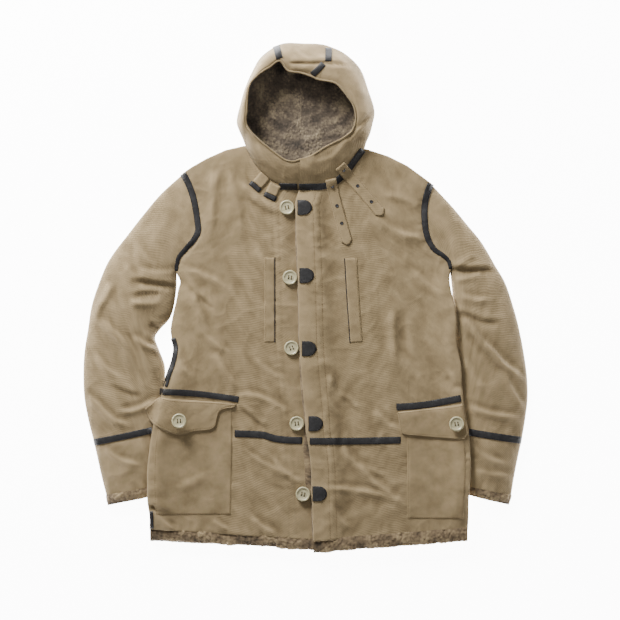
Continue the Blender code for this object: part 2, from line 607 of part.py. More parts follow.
def make_bowl(name, face, pile):
    """Closed lining: two rings of sections joined at the rim, each with a flat floor."""
    rows, columns = face.shape[:2]
    mesh = bmesh.new()
    shift = np.array([ORIGIN[0], ORIGIN[1], 0])
    grids = []
    for grid in (face, pile):
        verts = [[mesh.verts.new((grid[i, j] - shift) * MM) for j in range(columns)]
                 for i in range(rows)]
        grids.append(verts)
        for i in range(rows - 1):
            for j in range(columns):
                k = (j + 1) % columns
                mesh.faces.new((verts[i][j], verts[i][k], verts[i + 1][k], verts[i + 1][j]))
        mesh.faces.new(verts[0])
    for j in range(columns):
        k = (j + 1) % columns
        mesh.faces.new((grids[0][-1][j], grids[0][-1][k], grids[1][-1][k], grids[1][-1][j]))
    bmesh.ops.triangulate(mesh, faces=[f for f in mesh.faces if len(f.verts) > 4])
    bmesh.ops.recalc_face_normals(mesh, faces=mesh.faces)
    data = bpy.data.meshes.new(name)
    mesh.to_mesh(data)
    mesh.free()
    add_object(name, data, "pile")


def make_plate(name, outline, low, high, material="cloth"):
    """Flat plate of an outline, between two heights."""
    mesh = bmesh.new()
    shift = np.array(ORIGIN)
    rings = [[mesh.verts.new((*((point - shift) * MM), z * MM)) for point in outline]
             for z in (low, high)]
    mesh.faces.new(rings[0])
    mesh.faces.new(rings[1])
    for j in range(len(outline)):
        k = (j + 1) % len(outline)
        mesh.faces.new((rings[0][j], rings[0][k], rings[1][k], rings[1][j]))
    bmesh.ops.triangulate(mesh, faces=[f for f in mesh.faces if len(f.verts) > 4])
    bmesh.ops.recalc_face_normals(mesh, faces=mesh.faces)
    data = bpy.data.meshes.new(name)
    mesh.to_mesh(data)
    mesh.free()
    return add_object(name, data, material)


def surface_tree(names):
    """Search tree over the surfaces of some finished pieces, in the tables' millimetres."""
    points, faces = [], []
    for name in names:
        mesh = built[name].data
        start = len(points)
        points += [Vector((v.co.x / MM + ORIGIN[0], v.co.y / MM + ORIGIN[1], v.co.z / MM))
                   for v in mesh.vertices]
        faces += [[start + v for v in polygon.vertices] for polygon in mesh.polygons]
    return BVHTree.FromPolygons(points, faces)


def surface_height(tree, x, y, upward=False):
    """Top of the pieces at a place, or their underside."""
    start, way = (-50, 1) if upward else (400, -1)
    for dx, dy in ((0, 0), (0.5, 0), (-0.5, 0), (0, 0.5), (0, -0.5)):
        hit = tree.ray_cast(Vector((x + dx, y + dy, start)), Vector((0, 0, way)))
        if hit[0] is not None:
            return hit[0].z
    return None


def clear_heights(pieces, plan):
    """Lowest heights for a plan grid whose cells all stay a seam gap over the pieces."""
    tree = surface_tree(pieces)
    points = np.array([vert.co for name in pieces for vert in built[name].data.vertices]) / MM
    points[:, :2] += np.array(ORIGIN)
    rows, columns = plan.shape[:2]
    flat = plan.reshape(-1, 2)
    steps = 8
    reach = 0.5 + max(np.abs(np.diff(plan, axis=0)).max(), np.abs(np.diff(plan, axis=1)).max()) / 16
    near = [(0, 0)] + [(reach * a, reach * b) for a in (-1, 1) for b in (-1, 1)]
    shares = [np.array([a, b, steps - a - b]) / steps
              for a in range(steps + 1) for b in range(steps + 1 - a)]
    corners, weights, needed = [], [], []
    for i in range(rows - 1):
        for j in range(columns - 1):
            start, after = i * columns + j, (i + 1) * columns + j
            for three in ((start, start + 1, after + 1), (start, after, after + 1)):
                place = flat[list(three)]
                for share in shares:
                    x, y = share @ place
                    found = [surface_height(tree, x + dx, y + dy) for dx, dy in near]
                    found = [z for z in found if z is not None]
                    if found:
                        corners.append(three)
                        weights.append(share)
                        needed.append(max(found))
                part = np.linalg.solve((place[1:] - place[0]).T, (points[:, :2] - place[0]).T).T
                inside = np.column_stack([1 - part.sum(axis=1), part])
                for k in np.flatnonzero((inside >= 0).all(axis=1)):
                    corners.append(three)
                    weights.append(inside[k])
                    needed.append(points[k, 2])
    corners, weights = np.array(corners), np.array(weights)
    needed = np.array(needed) + SEAM_GAP
    grid = np.full(rows * columns, needed.min())
    for k in range(3):
        under = weights[:, k] > 0
        np.maximum.at(grid, corners[under, k], needed[under])
    members = []
    for point in range(rows * columns):
        spot, place = np.nonzero((corners == point) & (weights > 0))
        if len(spot):
            members.append((point, spot, weights[spot, place]))
    for _ in range(SETTLE_PASSES):
        for point, spot, share in members:
            spare = (weights[spot] * grid[corners[spot]]).sum(axis=1) - needed[spot]
            grid[point] -= 0.5 * max((spare / share).min(), 0)
    return grid.reshape(rows, columns)


def laid_on(name, plan, pieces, thickness, material="cloth", holes=()):
    """Thin wall laid on finished pieces, made from their points and moved out."""
    height = clear_heights(pieces, plan)
    return cloth(name, with_height(plan, height + thickness), with_height(plan, height),
                 material, holes=holes)


def resampled(path, spacing):
    """Even points along a route, and the direction at each."""
    path = np.array(path, dtype=float)
    steps = np.r_[0, np.cumsum(np.linalg.norm(np.diff(path, axis=0), axis=1))]
    count = max(3, int(round(steps[-1] / spacing)) + 1)
    at = np.linspace(0, steps[-1], count)
    points = np.stack([np.interp(at, steps, path[:, 0]), np.interp(at, steps, path[:, 1])], 1)
    ahead = np.gradient(points, axis=0)
    return points, ahead / np.linalg.norm(ahead, axis=1, keepdims=True)


def strip_plan(path, width, spacing=8.0, shares=(-0.5, 0, 0.5), taper=None):
    """Plan grid of a strip along a route."""
    points, ahead = resampled(path, spacing)
    across = np.stack([ahead[:, 1], -ahead[:, 0]], axis=1)
    widths = np.full(len(points), float(width))
    if taper is not None:
        widths = widths * np.interp(np.linspace(0, 1, len(points)), *taper)
    return np.stack([points + across * widths[:, None] * share for share in shares], axis=1)


def make_tapes():
    for name, (path, width, pieces) in TAPES.items():
        laid_on(name, strip_plan(path, width), pieces, LEATHER, "leather")
    for side, table in (("left", LEFT_SIDE), ("right", RIGHT_SIDE)):
        path = [row[:2] for row in table[:ARMHOLE_ROWS]]
        plan = strip_plan(path, TAPE_WIDTH, taper=((0, 0.6, 1), (1, 0.85, 0.55)))
        laid_on(f"armhole_tape_{side}", plan, (f"front_{side}", f"sleeve_upper_{side}"),
                LEATHER, "leather")


def make_chest_and_pockets():
    for name, (path, width, pieces) in WELTS.items():
        laid_on(name, strip_plan(path, width, 17.0), pieces, WEBBING)
    for name, (rows, front) in POCKETS.items():
        plan = np.array([[(left + (right - left) * share, y)
                          for share in (0, 0.2, 0.4, 0.6, 0.8, 1)] for y, left, right in rows])
        laid_on(name, plan, (front,), WEBBING)
    for name, (sections, pieces) in FLAPS.items():
        plan = np.array([[(x0 + (x1 - x0) * share, y0 + (y1 - y0) * share)
                          for share in (0, 0.35, 0.7, 1)] for x0, y0, x1, y1 in sections])
        laid_on(name, plan, pieces, 3.0)


def make_straps():
    for name, (path, width, holes) in STRAPS.items():
        plan = strip_plan(path, width, 8.0, shares=(-0.5, -0.16, 0.16, 0.5))
        ends = plan.shape[0] - 1
        plan[-1, 0] += (plan[-2, 0] - plan[-1, 0]) * 0.6
        plan[-1, -1] += (plan[-2, -1] - plan[-1, -1]) * 0.6
        cut = [(int(round(station * ends)), 1) for station in holes]
        laid_on(name, plan, ("hood_right", "front_right", "neck_tape_right"), WEBBING,
                holes=cut)
    for name, (path, width) in STRAP_ENDS.items():
        laid_on(name, strip_plan(path, width, 8.0), ("hood_left", "front_left", "neck_tape_left"),
                WEBBING)
    for name, (path, width) in BUCKLES.items():
        laid_on(name, strip_plan(path, width, 3.0), ("hood_left", "front_left"), 3.0, "leather")


def button_mesh(name):
    """Round button with a raised rim and four holes, its underside at zero."""
    radius, height = BUTTON_RADIUS, BUTTON_HEIGHT
    profile = ((0, 0), (radius - 1.5, 0), (radius, 1.5), (radius - 0.4, height - 0.8),
               (radius - 2, height), (radius - 4, height - 1.4), (0, height - 1.6))
    mesh = bmesh.new()
    verts = [mesh.verts.new((x * MM, 0, z * MM)) for x, z in profile]
    edges = [mesh.edges.new(pair) for pair in zip(verts, verts[1:])]
    bmesh.ops.spin(mesh, geom=verts + edges, cent=(0, 0, 0), axis=(0, 0, 1),
                   angle=2 * math.pi, steps=12, use_merge=True)
    bmesh.ops.remove_doubles(mesh, verts=mesh.verts, dist=0.00001)
    bmesh.ops.recalc_face_normals(mesh, faces=mesh.faces)
    data = bpy.data.meshes.new(name)
    mesh.to_mesh(data)
    mesh.free()
    return data


def hole_cutter():
    """Four short pegs that cut the holes of a button; it stays out of the model."""
    mesh = bmesh.new()
    for x, y in ((1, 1), (-1, 1), (1, -1), (-1, -1)):
        found = bmesh.ops.create_cone(mesh, cap_ends=True, segments=4, radius1=1.6 * MM,
                                      radius2=1.6 * MM, depth=20 * MM)
        bmesh.ops.translate(mesh, verts=found["verts"], vec=(x * 2.9 * MM, y * 2.9 * MM, 0))
    data = bpy.data.meshes.new("button_holes")
    mesh.to_mesh(data)
    mesh.free()
    cutter = bpy.data.objects.new("button_holes", data)
    bpy.context.collection.objects.link(cutter)
    cutter.hide_render = True
    cutter.display_type = "WIRE"
    return cutter


def cut_button():
    """The button's mesh with its holes cut."""
    blank = bpy.data.objects.new("button_blank", button_mesh("button_blank"))
    bpy.context.collection.objects.link(blank)
    cutter = hole_cutter()
    cut = blank.modifiers.new("holes", "BOOLEAN")
    cut.operation = "DIFFERENCE"
    cut.object = cutter
    view = bpy.context.evaluated_depsgraph_get()
    data = bpy.data.meshes.new_from_object(blank.evaluated_get(view))
    bpy.data.objects.remove(blank)
    bpy.data.objects.remove(cutter)
    return data


def make_buttons():
    mesh = cut_button()
    mesh.name = "button"
    mesh.materials.clear()
    mesh.materials.append(look("button"))
    mesh.shade_smooth()
    mesh.set_sharp_from_angle(angle=math.radians(40))
    places = {f"button_{k + 1}": (place, ("front_left", "front_edge_pile"))
              for k, place in enumerate(FRONT_BUTTONS)}
    places["pocket_button_left"] = (POCKET_BUTTONS["pocket_button_left"], ("flap_left",))
    places["pocket_button_right"] = (POCKET_BUTTONS["pocket_button_right"],
                                     ("flap_right", "front_right"))
    for name, ((x, y), pieces) in places.items():
        tree = surface_tree(pieces)
        spots = [(x + r * math.cos(a), y + r * math.sin(a))
                 for r in np.linspace(0, BUTTON_RADIUS - 1.5, 8)
                 for a in np.linspace(0, 2 * math.pi, 24)]
        found = [surface_height(tree, *spot) for spot in spots]
        rest = max(z for z in found if z is not None)
        piece = bpy.data.objects.new(name, mesh)
        piece.location = ((x - ORIGIN[0]) * MM, (y - ORIGIN[1]) * MM, (rest + SEAM_GAP) * MM)
        bpy.context.collection.objects.link(piece)
        built[name] = piece


def make_tabs():
    """Leather tabs with a round end, flat side at the front edge."""
    half = TAB_LENGTH / 2
    shares = (-1, -0.85, -0.5, 0, 0.5, 0.85, 1)
    for k, (x, y) in enumerate(FRONT_TABS):
        plan = []
        for share in shares:
            depth = TAB_DEPTH * (0.45 + 0.55 * math.sqrt(1 - share ** 2))
            plan.append([(x + depth * part, y + half * share) for part in (0.05, 0.35, 0.7, 1)])
        laid_on(f"front_tab_{k + 1}", np.array(plan), ("front_right",), LEATHER, "leather")


def main():
    for old in list(bpy.data.objects):
        bpy.data.objects.remove(old)
    make_back()
    make_lower_front()
    make_front_edge_pile()
    make_upper_front()
    make_hem()
    make_sleeve("left", LEFT_SLEEVE, LEFT_CUFF, LEFT_SIDE, LEFT_SLEEVE_FOLDS)
    make_sleeve("right", RIGHT_SLEEVE, RIGHT_CUFF, RIGHT_SIDE, RIGHT_SLEEVE_FOLDS)
    make_hood()
    make_tapes()
    make_chest_and_pockets()
    make_straps()
    make_tabs()
    make_buttons()


if __name__ == "__main__":
    main()
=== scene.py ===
"""Hooded pile-lined jacket, laid flat: fine cloth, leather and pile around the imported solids."""
import math

import bpy
import numpy as np
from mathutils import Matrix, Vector
from mathutils.bvhtree import BVHTree

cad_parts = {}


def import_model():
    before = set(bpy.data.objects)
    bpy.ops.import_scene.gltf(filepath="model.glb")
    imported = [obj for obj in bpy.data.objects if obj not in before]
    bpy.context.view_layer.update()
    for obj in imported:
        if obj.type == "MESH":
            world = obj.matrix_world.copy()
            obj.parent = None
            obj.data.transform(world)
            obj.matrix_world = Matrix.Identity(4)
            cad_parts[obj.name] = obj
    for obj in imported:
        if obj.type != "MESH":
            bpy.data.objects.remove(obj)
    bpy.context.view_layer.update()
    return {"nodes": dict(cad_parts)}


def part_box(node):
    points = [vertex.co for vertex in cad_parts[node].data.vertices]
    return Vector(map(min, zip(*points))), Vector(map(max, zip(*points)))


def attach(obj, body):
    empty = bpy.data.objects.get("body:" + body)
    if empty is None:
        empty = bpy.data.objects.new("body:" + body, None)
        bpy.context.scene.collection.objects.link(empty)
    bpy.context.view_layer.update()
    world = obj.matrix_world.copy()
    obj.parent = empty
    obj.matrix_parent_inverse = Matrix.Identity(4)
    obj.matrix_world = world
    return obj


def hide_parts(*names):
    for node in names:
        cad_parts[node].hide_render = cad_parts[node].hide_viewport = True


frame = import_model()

bl_info = {
    "name": "Hooded Pile-Lined Jacket",
    "version": (1, 0, 0),
    "blender": (4, 5, 0),
    "location": "3D View > Sidebar > Jacket",
    "description": "Makes the cloth, tapes, pile and buttons of a jacket laid flat",
    "category": "Object",
}

MM = 0.001
ORIGIN_Y = 2.5               # the tables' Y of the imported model's origin

# Body edges: x, y, lift by the sleeve below, share of the shoulder curve, share of the hem
LEFT_SIDE = (
    (-245, 253, 0, 1.0, 0), (-235, 234, 0, 0.86, 0), (-226, 210, 0, 0.7, 0),
    (-220, 184, 0, 0.55, 0), (-216, 156, 0, 0.42, 0), (-215, 138, 0, 0.32, 0),
    (-223, 121, 0, 0.23, 0), (-238, 104, 0, 0.16, 0), (-253, 86, 0, 0.1, 0),
    (-257, 72, 0, 0.05, 0), (-259, 58, 0, 0.02, 0), (-250, 38, 0, 0, 0),
    (-254, 20, 0, 0, 0), (-258, -2, 0, 0, 0), (-264, -28, 0, 0, 0),
    (-269, -58, 0, 0, 0), (-267, -76, 0, 0, 0), (-262, -96, 1, 0, 0),
    (-266, -122, 3, 0, 0), (-275, -148, 9, 0, 0), (-283, -176, 14, 0, 0),
    (-291, -204, 16, 0, 0), (-298, -232, 17, 0, 0), (-305, -260, 17, 0, 0),
    (-311, -300, 17, 0, 0), (-315, -340, 17, 0, 0.15), (-315, -372, 17, 0, 0.35),
    (-315, -402, 16, 0, 0.55), (-311, -432, 9, 0, 0.78), (-311, -458, 3, 0, 1.0),
)
RIGHT_SIDE = (
    (251, 233, 0, 1.0, 0), (246, 221, 0, 0.88, 0), (241, 204, 0, 0.76, 0),
    (238, 184, 0, 0.62, 0), (238, 163, 0, 0.48, 0), (240, 142, 0, 0.36, 0),
    (246, 120, 0, 0.25, 0), (258, 101, 0, 0.17, 0), (274, 90, 0, 0.1, 0),
    (286, 78, 0, 0.05, 0), (290, 62, 0, 0.02, 0), (287, 45, 3, 0, 0),
    (289, 25, 9, 0, 0), (294, 2, 13, 0, 0), (299, -22, 15, 0, 0),
    (301, -52, 16, 0, 0), (301, -78, 17, 0, 0), (304, -100, 17, 0, 0),
    (309, -126, 17, 0, 0), (311, -148, 17, 0, 0), (312, -172, 17, 0, 0),
    (315, -202, 17, 0, 0), (319, -232, 17, 0, 0), (325, -262, 17, 0, 0),
    (328, -300, 17, 0, 0), (329, -340, 17, 0, 0.15), (327, -372, 17, 0, 0.35),
    (325, -402, 16, 0, 0.55), (325, -432, 9, 0, 0.78), (324, -458, 3, 0, 1.0),
)
ARMHOLE_ROWS = 11            # the first rows of both tables are the armholes
# Shoulder and neck edges: x, y, share of the panel's width for that column lower down
LEFT_TOP = (
    (-245, 253, 0), (-238, 258, 0.037), (-226, 266, 0.092), (-198, 282, 0.185),
    (-160, 299, 0.28), (-121, 308, 0.37), (-111, 288, 0.45), (-99, 268, 0.53),
    (-84, 251, 0.61), (-66, 237, 0.69), (-44, 227, 0.77), (-28, 222, 0.84),
    (-13, 220, 0.9), (20, 219, 1),
)
RIGHT_TOP = (
    (251, 233, 0), (244, 238, 0.039), (232, 247, 0.096), (203, 268, 0.193),
    (165, 287, 0.3), (119, 302, 0.4), (109, 290, 0.46), (99, 274, 0.53),
    (86, 257, 0.61), (70, 240, 0.69), (51, 228, 0.78), (27, 222, 0.87),
    (3, 220, 0.95), (-13, 220, 1),
)
BACK_TOP = (
    (-245, 253, 0), (-238, 258, 0.02), (-226, 266, 0.05), (-198, 282, 0.1),
    (-160, 299, 0.17), (-121, 308, 0.28), (-98, 299, 0.4), (-35, 291, 0.51),
    (45, 292, 0.62), (119, 302, 0.74), (165, 287, 0.83), (203, 268, 0.9),
    (232, 247, 0.95), (244, 238, 0.98), (251, 233, 1),
)
# Front edge, down the overlap: x, y, pile that shows past it
FRONT_EDGE = (
    (-13, 220, 1), (-15, 210, 1), (-20, 200, 1), (-19, 170, 2), (-17, 116, 3),
    (-14, 30, 2), (-12, -80, 2), (-10, -114, 3), (-7, -154, 4), (-3, -200, 4),
    (0, -228, 3), (2, -274, 4), (8, -300, 13), (12, -340, 14), (12, -366, 13),
    (14, -408, 3), (16, -482, 2),
)
UNDERLAP = 34                # how far the lower front reaches under the upper one
HEM_DROP = 24                # fall of the hem from the side seams to the middle
MARGIN = 10.0                # cloth turned under at a panel's edges
PANEL_TURN = 4.5             # how far down that turned cloth lies
PANEL_BLUR = 3.0             # smoothing of the solid's facets, in grid cells
GROOVE = 2.2                 # half width of a sewn groove
CLEARANCE = 0.15             # between a laid piece and what is below it

# Sleeves: outer edge x, y, inner edge x, y, height; the first row follows the armhole
LEFT_SLEEVE = (
    (-245, 253, -259, 58, 15), (-290, 212, -258, 28, 20),
    (-327, 168, -263, -10, 23), (-355, 132, -272, -37, 25),
    (-387, 90, -292, -60, 26), (-405, 56, -301, -76, 26),
    (-427, -6, -293, -100, 26), (-436, -60, -282, -130, 26),
    (-443, -105, -281, -158, 25), (-445, -150, -280, -186, 25),
    (-443, -196, -283, -212, 24), (-435, -240, -287, -234, 24),
    (-424, -284, -291, -256, 23), (-416, -320, -293, -296, 23),
    (-408, -356, -296, -336, 22), (-399, -391, -301, -372, 20),
)
RIGHT_SLEEVE = (
    (251, 233, 290, 62, 15), (293, 188, 291, 44, 20),
    (323, 152, 294, 12, 23), (353, 115, 295, -20, 25),
    (380, 69, 293, -52, 26), (401, 32, 292, -84, 26),
    (420, -26, 293, -118, 26), (430, -67, 295, -142, 26),
    (438, -110, 297, -168, 25), (444, -155, 299, -192, 25),
    (445, -198, 301, -214, 24), (440, -240, 304, -236, 24),
    (433, -281, 308, -258, 23), (425, -318, 309, -296, 23),
    (418, -354, 311, -334, 22), (412, -391, 313, -370, 20),
)
FOREARM_ROW = 12             # the taped seam
SLEEVE_EDGE = 4              # height of a flattened sleeve's sides
SLEEVE_SPACING = 3.0         # between its rings
RING_POINTS = 111
LEFT_CUFF = ((-399, -390, -301, -371, 19), (-398, -400, -303, -382, 19), (-396, -411, -305, -392, 15))
RIGHT_CUFF = ((412, -390, 313, -369, 19), (410, -400, 316, -379, 19), (407, -410, 319, -388, 15))

# Hood over the neck seam: neck x, y, rim x, y, rim height
LEFT_CHIN = (
    (-13, 220, -11, 280, 42), (-28, 222, -25, 276, 43), (-44, 227, -42, 280, 44),
    (-66, 237, -64, 296, 46), (-84, 251, -82, 310, 48), (-99, 268, -97, 323, 49),
    (-111, 288, -108, 334, 50), (-121, 308, -116, 346, 51),
)
RIGHT_CHIN = (
    (119, 302, 93, 337, 50), (109, 290, 87, 331, 49), (99, 274, 79, 325, 48),
    (86, 257, 69, 319, 47), (70, 240, 54, 312, 46), (51, 228, 39, 304, 45),
    (27, 222, 23, 294, 44), (3, 220, 5, 284, 43), (-13, 220, -11, 280, 42),
)
# Hood that stands on the surface: outermost x, y, rim x, y, rim height
HOOD_WALL = (
    (-133, 340, -119, 360, 53), (-137, 360, -117, 378, 55), (-129, 394, -115, 410, 57),
    (-121, 422, -109, 432, 58), (-107, 454, -89, 452, 59), (-89, 484, -71, 463, 60),
    (-59, 506, -51, 475, 62), (-37, 512, -35, 456, 59), (-5, 511, -11, 452, 57),
    (25, 510, 11, 445, 57), (47, 505, 27, 438, 58), (79, 490, 61, 430, 59),
    (109, 460, 87, 400, 58), (125, 418, 97, 382, 57), (137, 378, 100, 362, 55),
    (133, 350, 98, 349, 53), (126, 326, 96, 343, 51),
)
HOOD_MIDDLE = (-8, 390)
LEFT_HOOD_TAPE = 14          # sections where the hood's taped seams reach the rim
RIGHT_HOOD_TAPE = 18

# Creases: x, y, x, y of the ends, half width, rise, sideways bow
LEFT_FRONT_CREASES = (
    (-171, 270, -189, 130, 13, 1.6, 6), (-157, 262, -131, 130, 11, 1.3, -5),
    (-131, 232, -49, 178, 9, 1.5, 5), (-120, 205, -60, 168, 8, -1.0, 4),
    (-225, 16, -191, -76, 10, 1.8, 4), (-258, -98, -238, -152, 9, 1.6, 3),
    (-179, -108, -139, -176, 10, 1.8, 4), (-131, -190, -39, -222, 8, 1.8, -8),
    (-131, -215, -79, -256, 8, -1.6, 4), (-63, -318, -12, -364, 8, 2.2, 3),
    (-120, -300, -40, -348, 7, 1.0, 5), (-257, -373, -196, -346, 7, 1.4, 3),
    (-310, -410, -275, -424, 7, -3.0, 2), (-295, -434, -265, -458, 8, 1.6, 2),
    (-184, -441, -157, -460, 7, 1.4, 2), (-105, -436, -60, -470, 8, 1.2, 3),
    (-222, -40, -150, -110, 10, 1.0, 6), (-110, 120, -60, 60, 9, 0.9, 4),
    (-240, 60, -150, 20, 9, 1.1, -6), (-245, 40, -180, -20, 8, -1.0, 5),
    (-100, -120, -45, -160, 8, 1.0, 4), (-90, 0, -40, -60, 7, 0.6, 2),
)
RIGHT_FRONT_CREASES = (
    (141, 164, 233, 120, 10, 1.8, 6), (49, -153, 81, -198, 8, 2.0, 3),
    (57, -166, 105, -228, 8, -1.4, 4), (140, -220, 185, -261, 8, 1.4, 3),
    (75, -296, 189, -404, 9, 2.6, 5), (45, -376, 189, -404, 8, 1.6, -6),
    (53, -410, 87, -456, 8, 1.6, 3), (174, -24, 180, -126, 12, 1.6, 3),
    (196, -30, 205, -120, 10, -1.0, 2), (283, -152, 307, -178, 8, -1.6, 2),
    (40, -190, 75, -235, 7, 1.0, 2), (110, -330, 160, -352, 8, 0.9, 2),
    (22, 150, 60, 100, 8, 0.8, 3), (215, 60, 280, 10, 9, 1.0, 5),
    (30, 20, 60, -40, 9, 0.7, 3), (240, -330, 300, -360, 9, 1.0, 4),
    (230, 180, 150, 210, 10, 1.0, 6),
)
LEFT_SLEEVE_CREASES = (
    (-345, 38, -257, 28, 8, -3.0, 3), (-388, 30, -418, -39, 10, 2.2, 4),
    (-407, -41, -344, -139, 10, 2.6, -8), (-349, -4, -293, -4, 8, 2.2, 3),
    (-310, -48, -284, -54, 7, -2.2, 2), (-340, -74, -292, -102, 8, 2.2, 4),
    (-431, -195, -355, -254, 9, 2.4, 6), (-366, -224, -299, -200, 8, 2.2, 4),
    (-330, 60, -262, 55, 7, 1.6, 4), (-360, 70, -320, 20, 8, 1.2, 5),
    (-340, 10, -285, 12, 6, -1.8, -3), (-420, -110, -370, -160, 8, 1.2, 5),
    (-390, -170, -330, -190, 8, -1.2, 4), (-400, -300, -330, -330, 8, 1.2, 5),
    (-330, -280, -300, -340, 7, 1.2, 3), (-340, 120, -300, 60, 9, 1.0, 4),
)
RIGHT_SLEEVE_CREASES = (
    (293, 60, 373, 60, 8, -3.0, 3), (301, -26, 385, -44, 8, -2.2, 4),
    (315, -30, 437, -159, 9, 2.8, 8), (327, -64, 396, -145, 8, -2.0, 4),
    (330, -215, 425, -235, 9, 2.0, 5), (300, 40, 350, 52, 7, 1.8, 2),
    (312, 10, 372, 0, 8, 1.8, 4), (400, -150, 440, -220, 8, 1.2, 3),
    (320, -120, 370, -190, 8, 1.2, 4), (340, 90, 300, 62, 8, 1.2, 4),
    (330, -290, 400, -330, 8, 1.2, 5), (340, -340, 410, -356, 8, 1.0, 3),
)
HOOD_CREASES = (
    (133, 374, 79, 304, 6, -2.5, 4), (110, 340, 53, 276, 7, 2.2, 3),
    (-95, 310, -60, 262, 6, 1.6, 3), (-115, 300, -80, 262, 5, -1.5, 2),
    (20, 275, 60, 290, 6, 1.4, 2), (-128, 400, -118, 340, 6, 1.2, 2),
    (60, 490, 100, 455, 7, 1.4, 3), (-20, 500, 10, 480, 6, 1.2, 3),
)
CROWN_FOLD = ((-34, 471), (0, 470), (38, 471), (70, 469), (103, 462))

# Tapes: centre line, width
TAPES = {
    "hood_tape_left": (((-59, 507), (-56, 498), (-54, 488), (-51, 479)), 14),
    "hood_tape_right": (((46, 503), (46, 488), (45, 474)), 13),
    "neck_tape_left": (((-53, 227), (-16, 226)), 13),
    "neck_tape_right": (((-13, 226), (10, 226), (34, 227), (60, 236), (84, 259), (99, 279),
                         (115, 300)), 13),
    "waist_tape_left": (((-142, -267), (-112, -268), (-85, -270), (-61, -277), (-34, -280),
                         (-6, -281)), 14),
    "waist_tape_right": (((8, -282), (100, -282), (191, -280)), 14),
    "pocket_tape_left": (((-292, -183), (-250, -185), (-211, -188), (-172, -193),
                          (-133, -199)), 12.5),
    "pocket_tape_right": (((181, -214), (215, -212), (249, -208), (280, -202),
                           (311, -196)), 14),
    "sleeve_tape_left": (((-424, -285), (-390, -278), (-360, -272), (-306, -260)), 13),
    "sleeve_tape_right": (((433, -281), (375, -272), (326, -264)), 14),
    "side_tape_left_upper": (((-265, -76), (-260, -96), (-264, -122), (-273, -148),
                              (-281, -174)), 10),
    "side_tape_left_lower": (((-308, -422), (-307.5, -440), (-307, -457)), 7),
}
HOOD_TAPE_RETURN = ((36, 470), (26, 459), (13, 447))
WELTS = {
    "chest_welt_left": (((-72, 85), (-72, -85)), 20),
    "chest_welt_right": (((91, 84), (96, 0), (102, -85)), 24),
}
STRAPS = {
    "throat_strap_upper": (((68, 268), (99, 234), (127, 202), (155, 169)), 23,
                           (0.1, 0.42, 0.74)),
    "throat_strap_lower": (((50, 242), (55, 220), (62, 192), (72, 155), (85, 109)), 22,
                           (0.12, 0.42, 0.68)),
}
STRAP_ENDS = {
    "strap_end_upper": (((-80, 249), (-97, 230)), 24),
    "strap_end_lower": (((-60, 231), (-69, 211)), 24),
}
BUCKLES = {
    "strap_buckle_upper": (((-97, 230.5), (-104, 222.5)), 27),
    "strap_buckle_lower": (((-68, 212), (-73, 202)), 27),
}
# Patch pockets: rows of y, left x, right x
POCKETS = {
    "pocket_left": ((-213, -287, -146), (-245, -292, -146), (-280, -299, -146),
                    (-320, -302, -146), (-360, -303, -147), (-400, -302, -148),
                    (-430, -299, -149)),
    "pocket_right": ((-222, 203, 309), (-260, 203, 317), (-300, 203, 320),
                     (-340, 203, 321), (-380, 203, 319), (-415, 203, 317),
                     (-438, 204, 316)),
}
# Pocket flaps: sections from the seam x, y to the free edge x, y
FLAPS = {
    "flap_left": ((-292, -193, -322, -216), (-272, -197, -306, -247), (-246, -199, -258, -270),
                  (-216, -201, -219, -264), (-186, -203, -184, -257), (-162, -206, -172, -223),
                  (-137, -209, -141, -215)),
    "flap_right": ((184, -224, 190, -264), (190, -223, 198, -270), (215, -220, 225, -273),
                   (248, -216, 258, -276), (282, -212, 290, -278), (308, -208, 314, -278),
                   (313, -205, 324, -266)),
}
FRONT_BUTTONS = ((-37, 185), (-31, 45), (-28, -96), (-17.5, -247), (-5, -388))
FRONT_TABS = ((-17, 185), (-13, 49), (-8, -97), (5, -247), (13, -387))
TAB_LENGTH = 30.0
TAB_DEPTH = 30.0
POCKET_BUTTONS = {"pocket_button_left": (-252, -241), "pocket_button_right": (301, -247)}
# Button: radius, height, from the middle of its underside round to the middle of its top
BUTTON_PROFILE = (
    (0.02, 0), (13.3, 0), (14.6, 1.4), (14.8, 3.2), (14.2, 4.6), (13.0, 5.1),
    (11.8, 4.9), (10.9, 4.1), (10.2, 3.6), (7.0, 3.5), (4.0, 3.4), (0.02, 3.4),
)
BUTTON_TURNS = (12, -8, 20, 5, -15, 3, 9)    # degrees
STITCH = (1.7, 0.45, 0.4)    # half length, half width, half height

shown = {}                   # finished pieces by name


def linear(code):
    """sRGB hex to the linear colour that Blender's sockets take."""
    parts = [int(code[k:k + 2], 16) / 255 for k in (1, 3, 5)]
    return tuple(p / 12.92 if p <= 0.04045 else ((p + 0.055) / 1.055) ** 2.4 for p in parts)


# Curves and grids
def smooth(value):
    """Ease from 0 to 1 with level ends."""
    value = np.clip(value, 0.0, 1.0)
    return value * value * (3 - 2 * value)


def curve_at(values, index):
    """Smooth curve through numbered points, at numbers that may fall between them."""
    values = np.asarray(values, dtype=float)
    index = np.asarray(index, dtype=float)
    low = np.clip(np.floor(index).astype(int), 0, len(values) - 2)
    part = (index - low).reshape((-1,) + (1,) * (values.ndim - 1))
    one, two = values[low], values[low + 1]
    start = (low > 0).reshape(part.shape)
    end = (low < len(values) - 2).reshape(part.shape)
    before = np.where(start, values[np.maximum(low - 1, 0)], 2 * one - two)
    after = np.where(end, values[np.minimum(low + 2, len(values) - 1)], 2 * two - one)
    square, cube = part ** 2, part ** 3
    return 0.5 * (2 * one + (two - before) * part
                  + (2 * before - 5 * one + 4 * two - after) * square
                  + (3 * one - before - 3 * two + after) * cube)


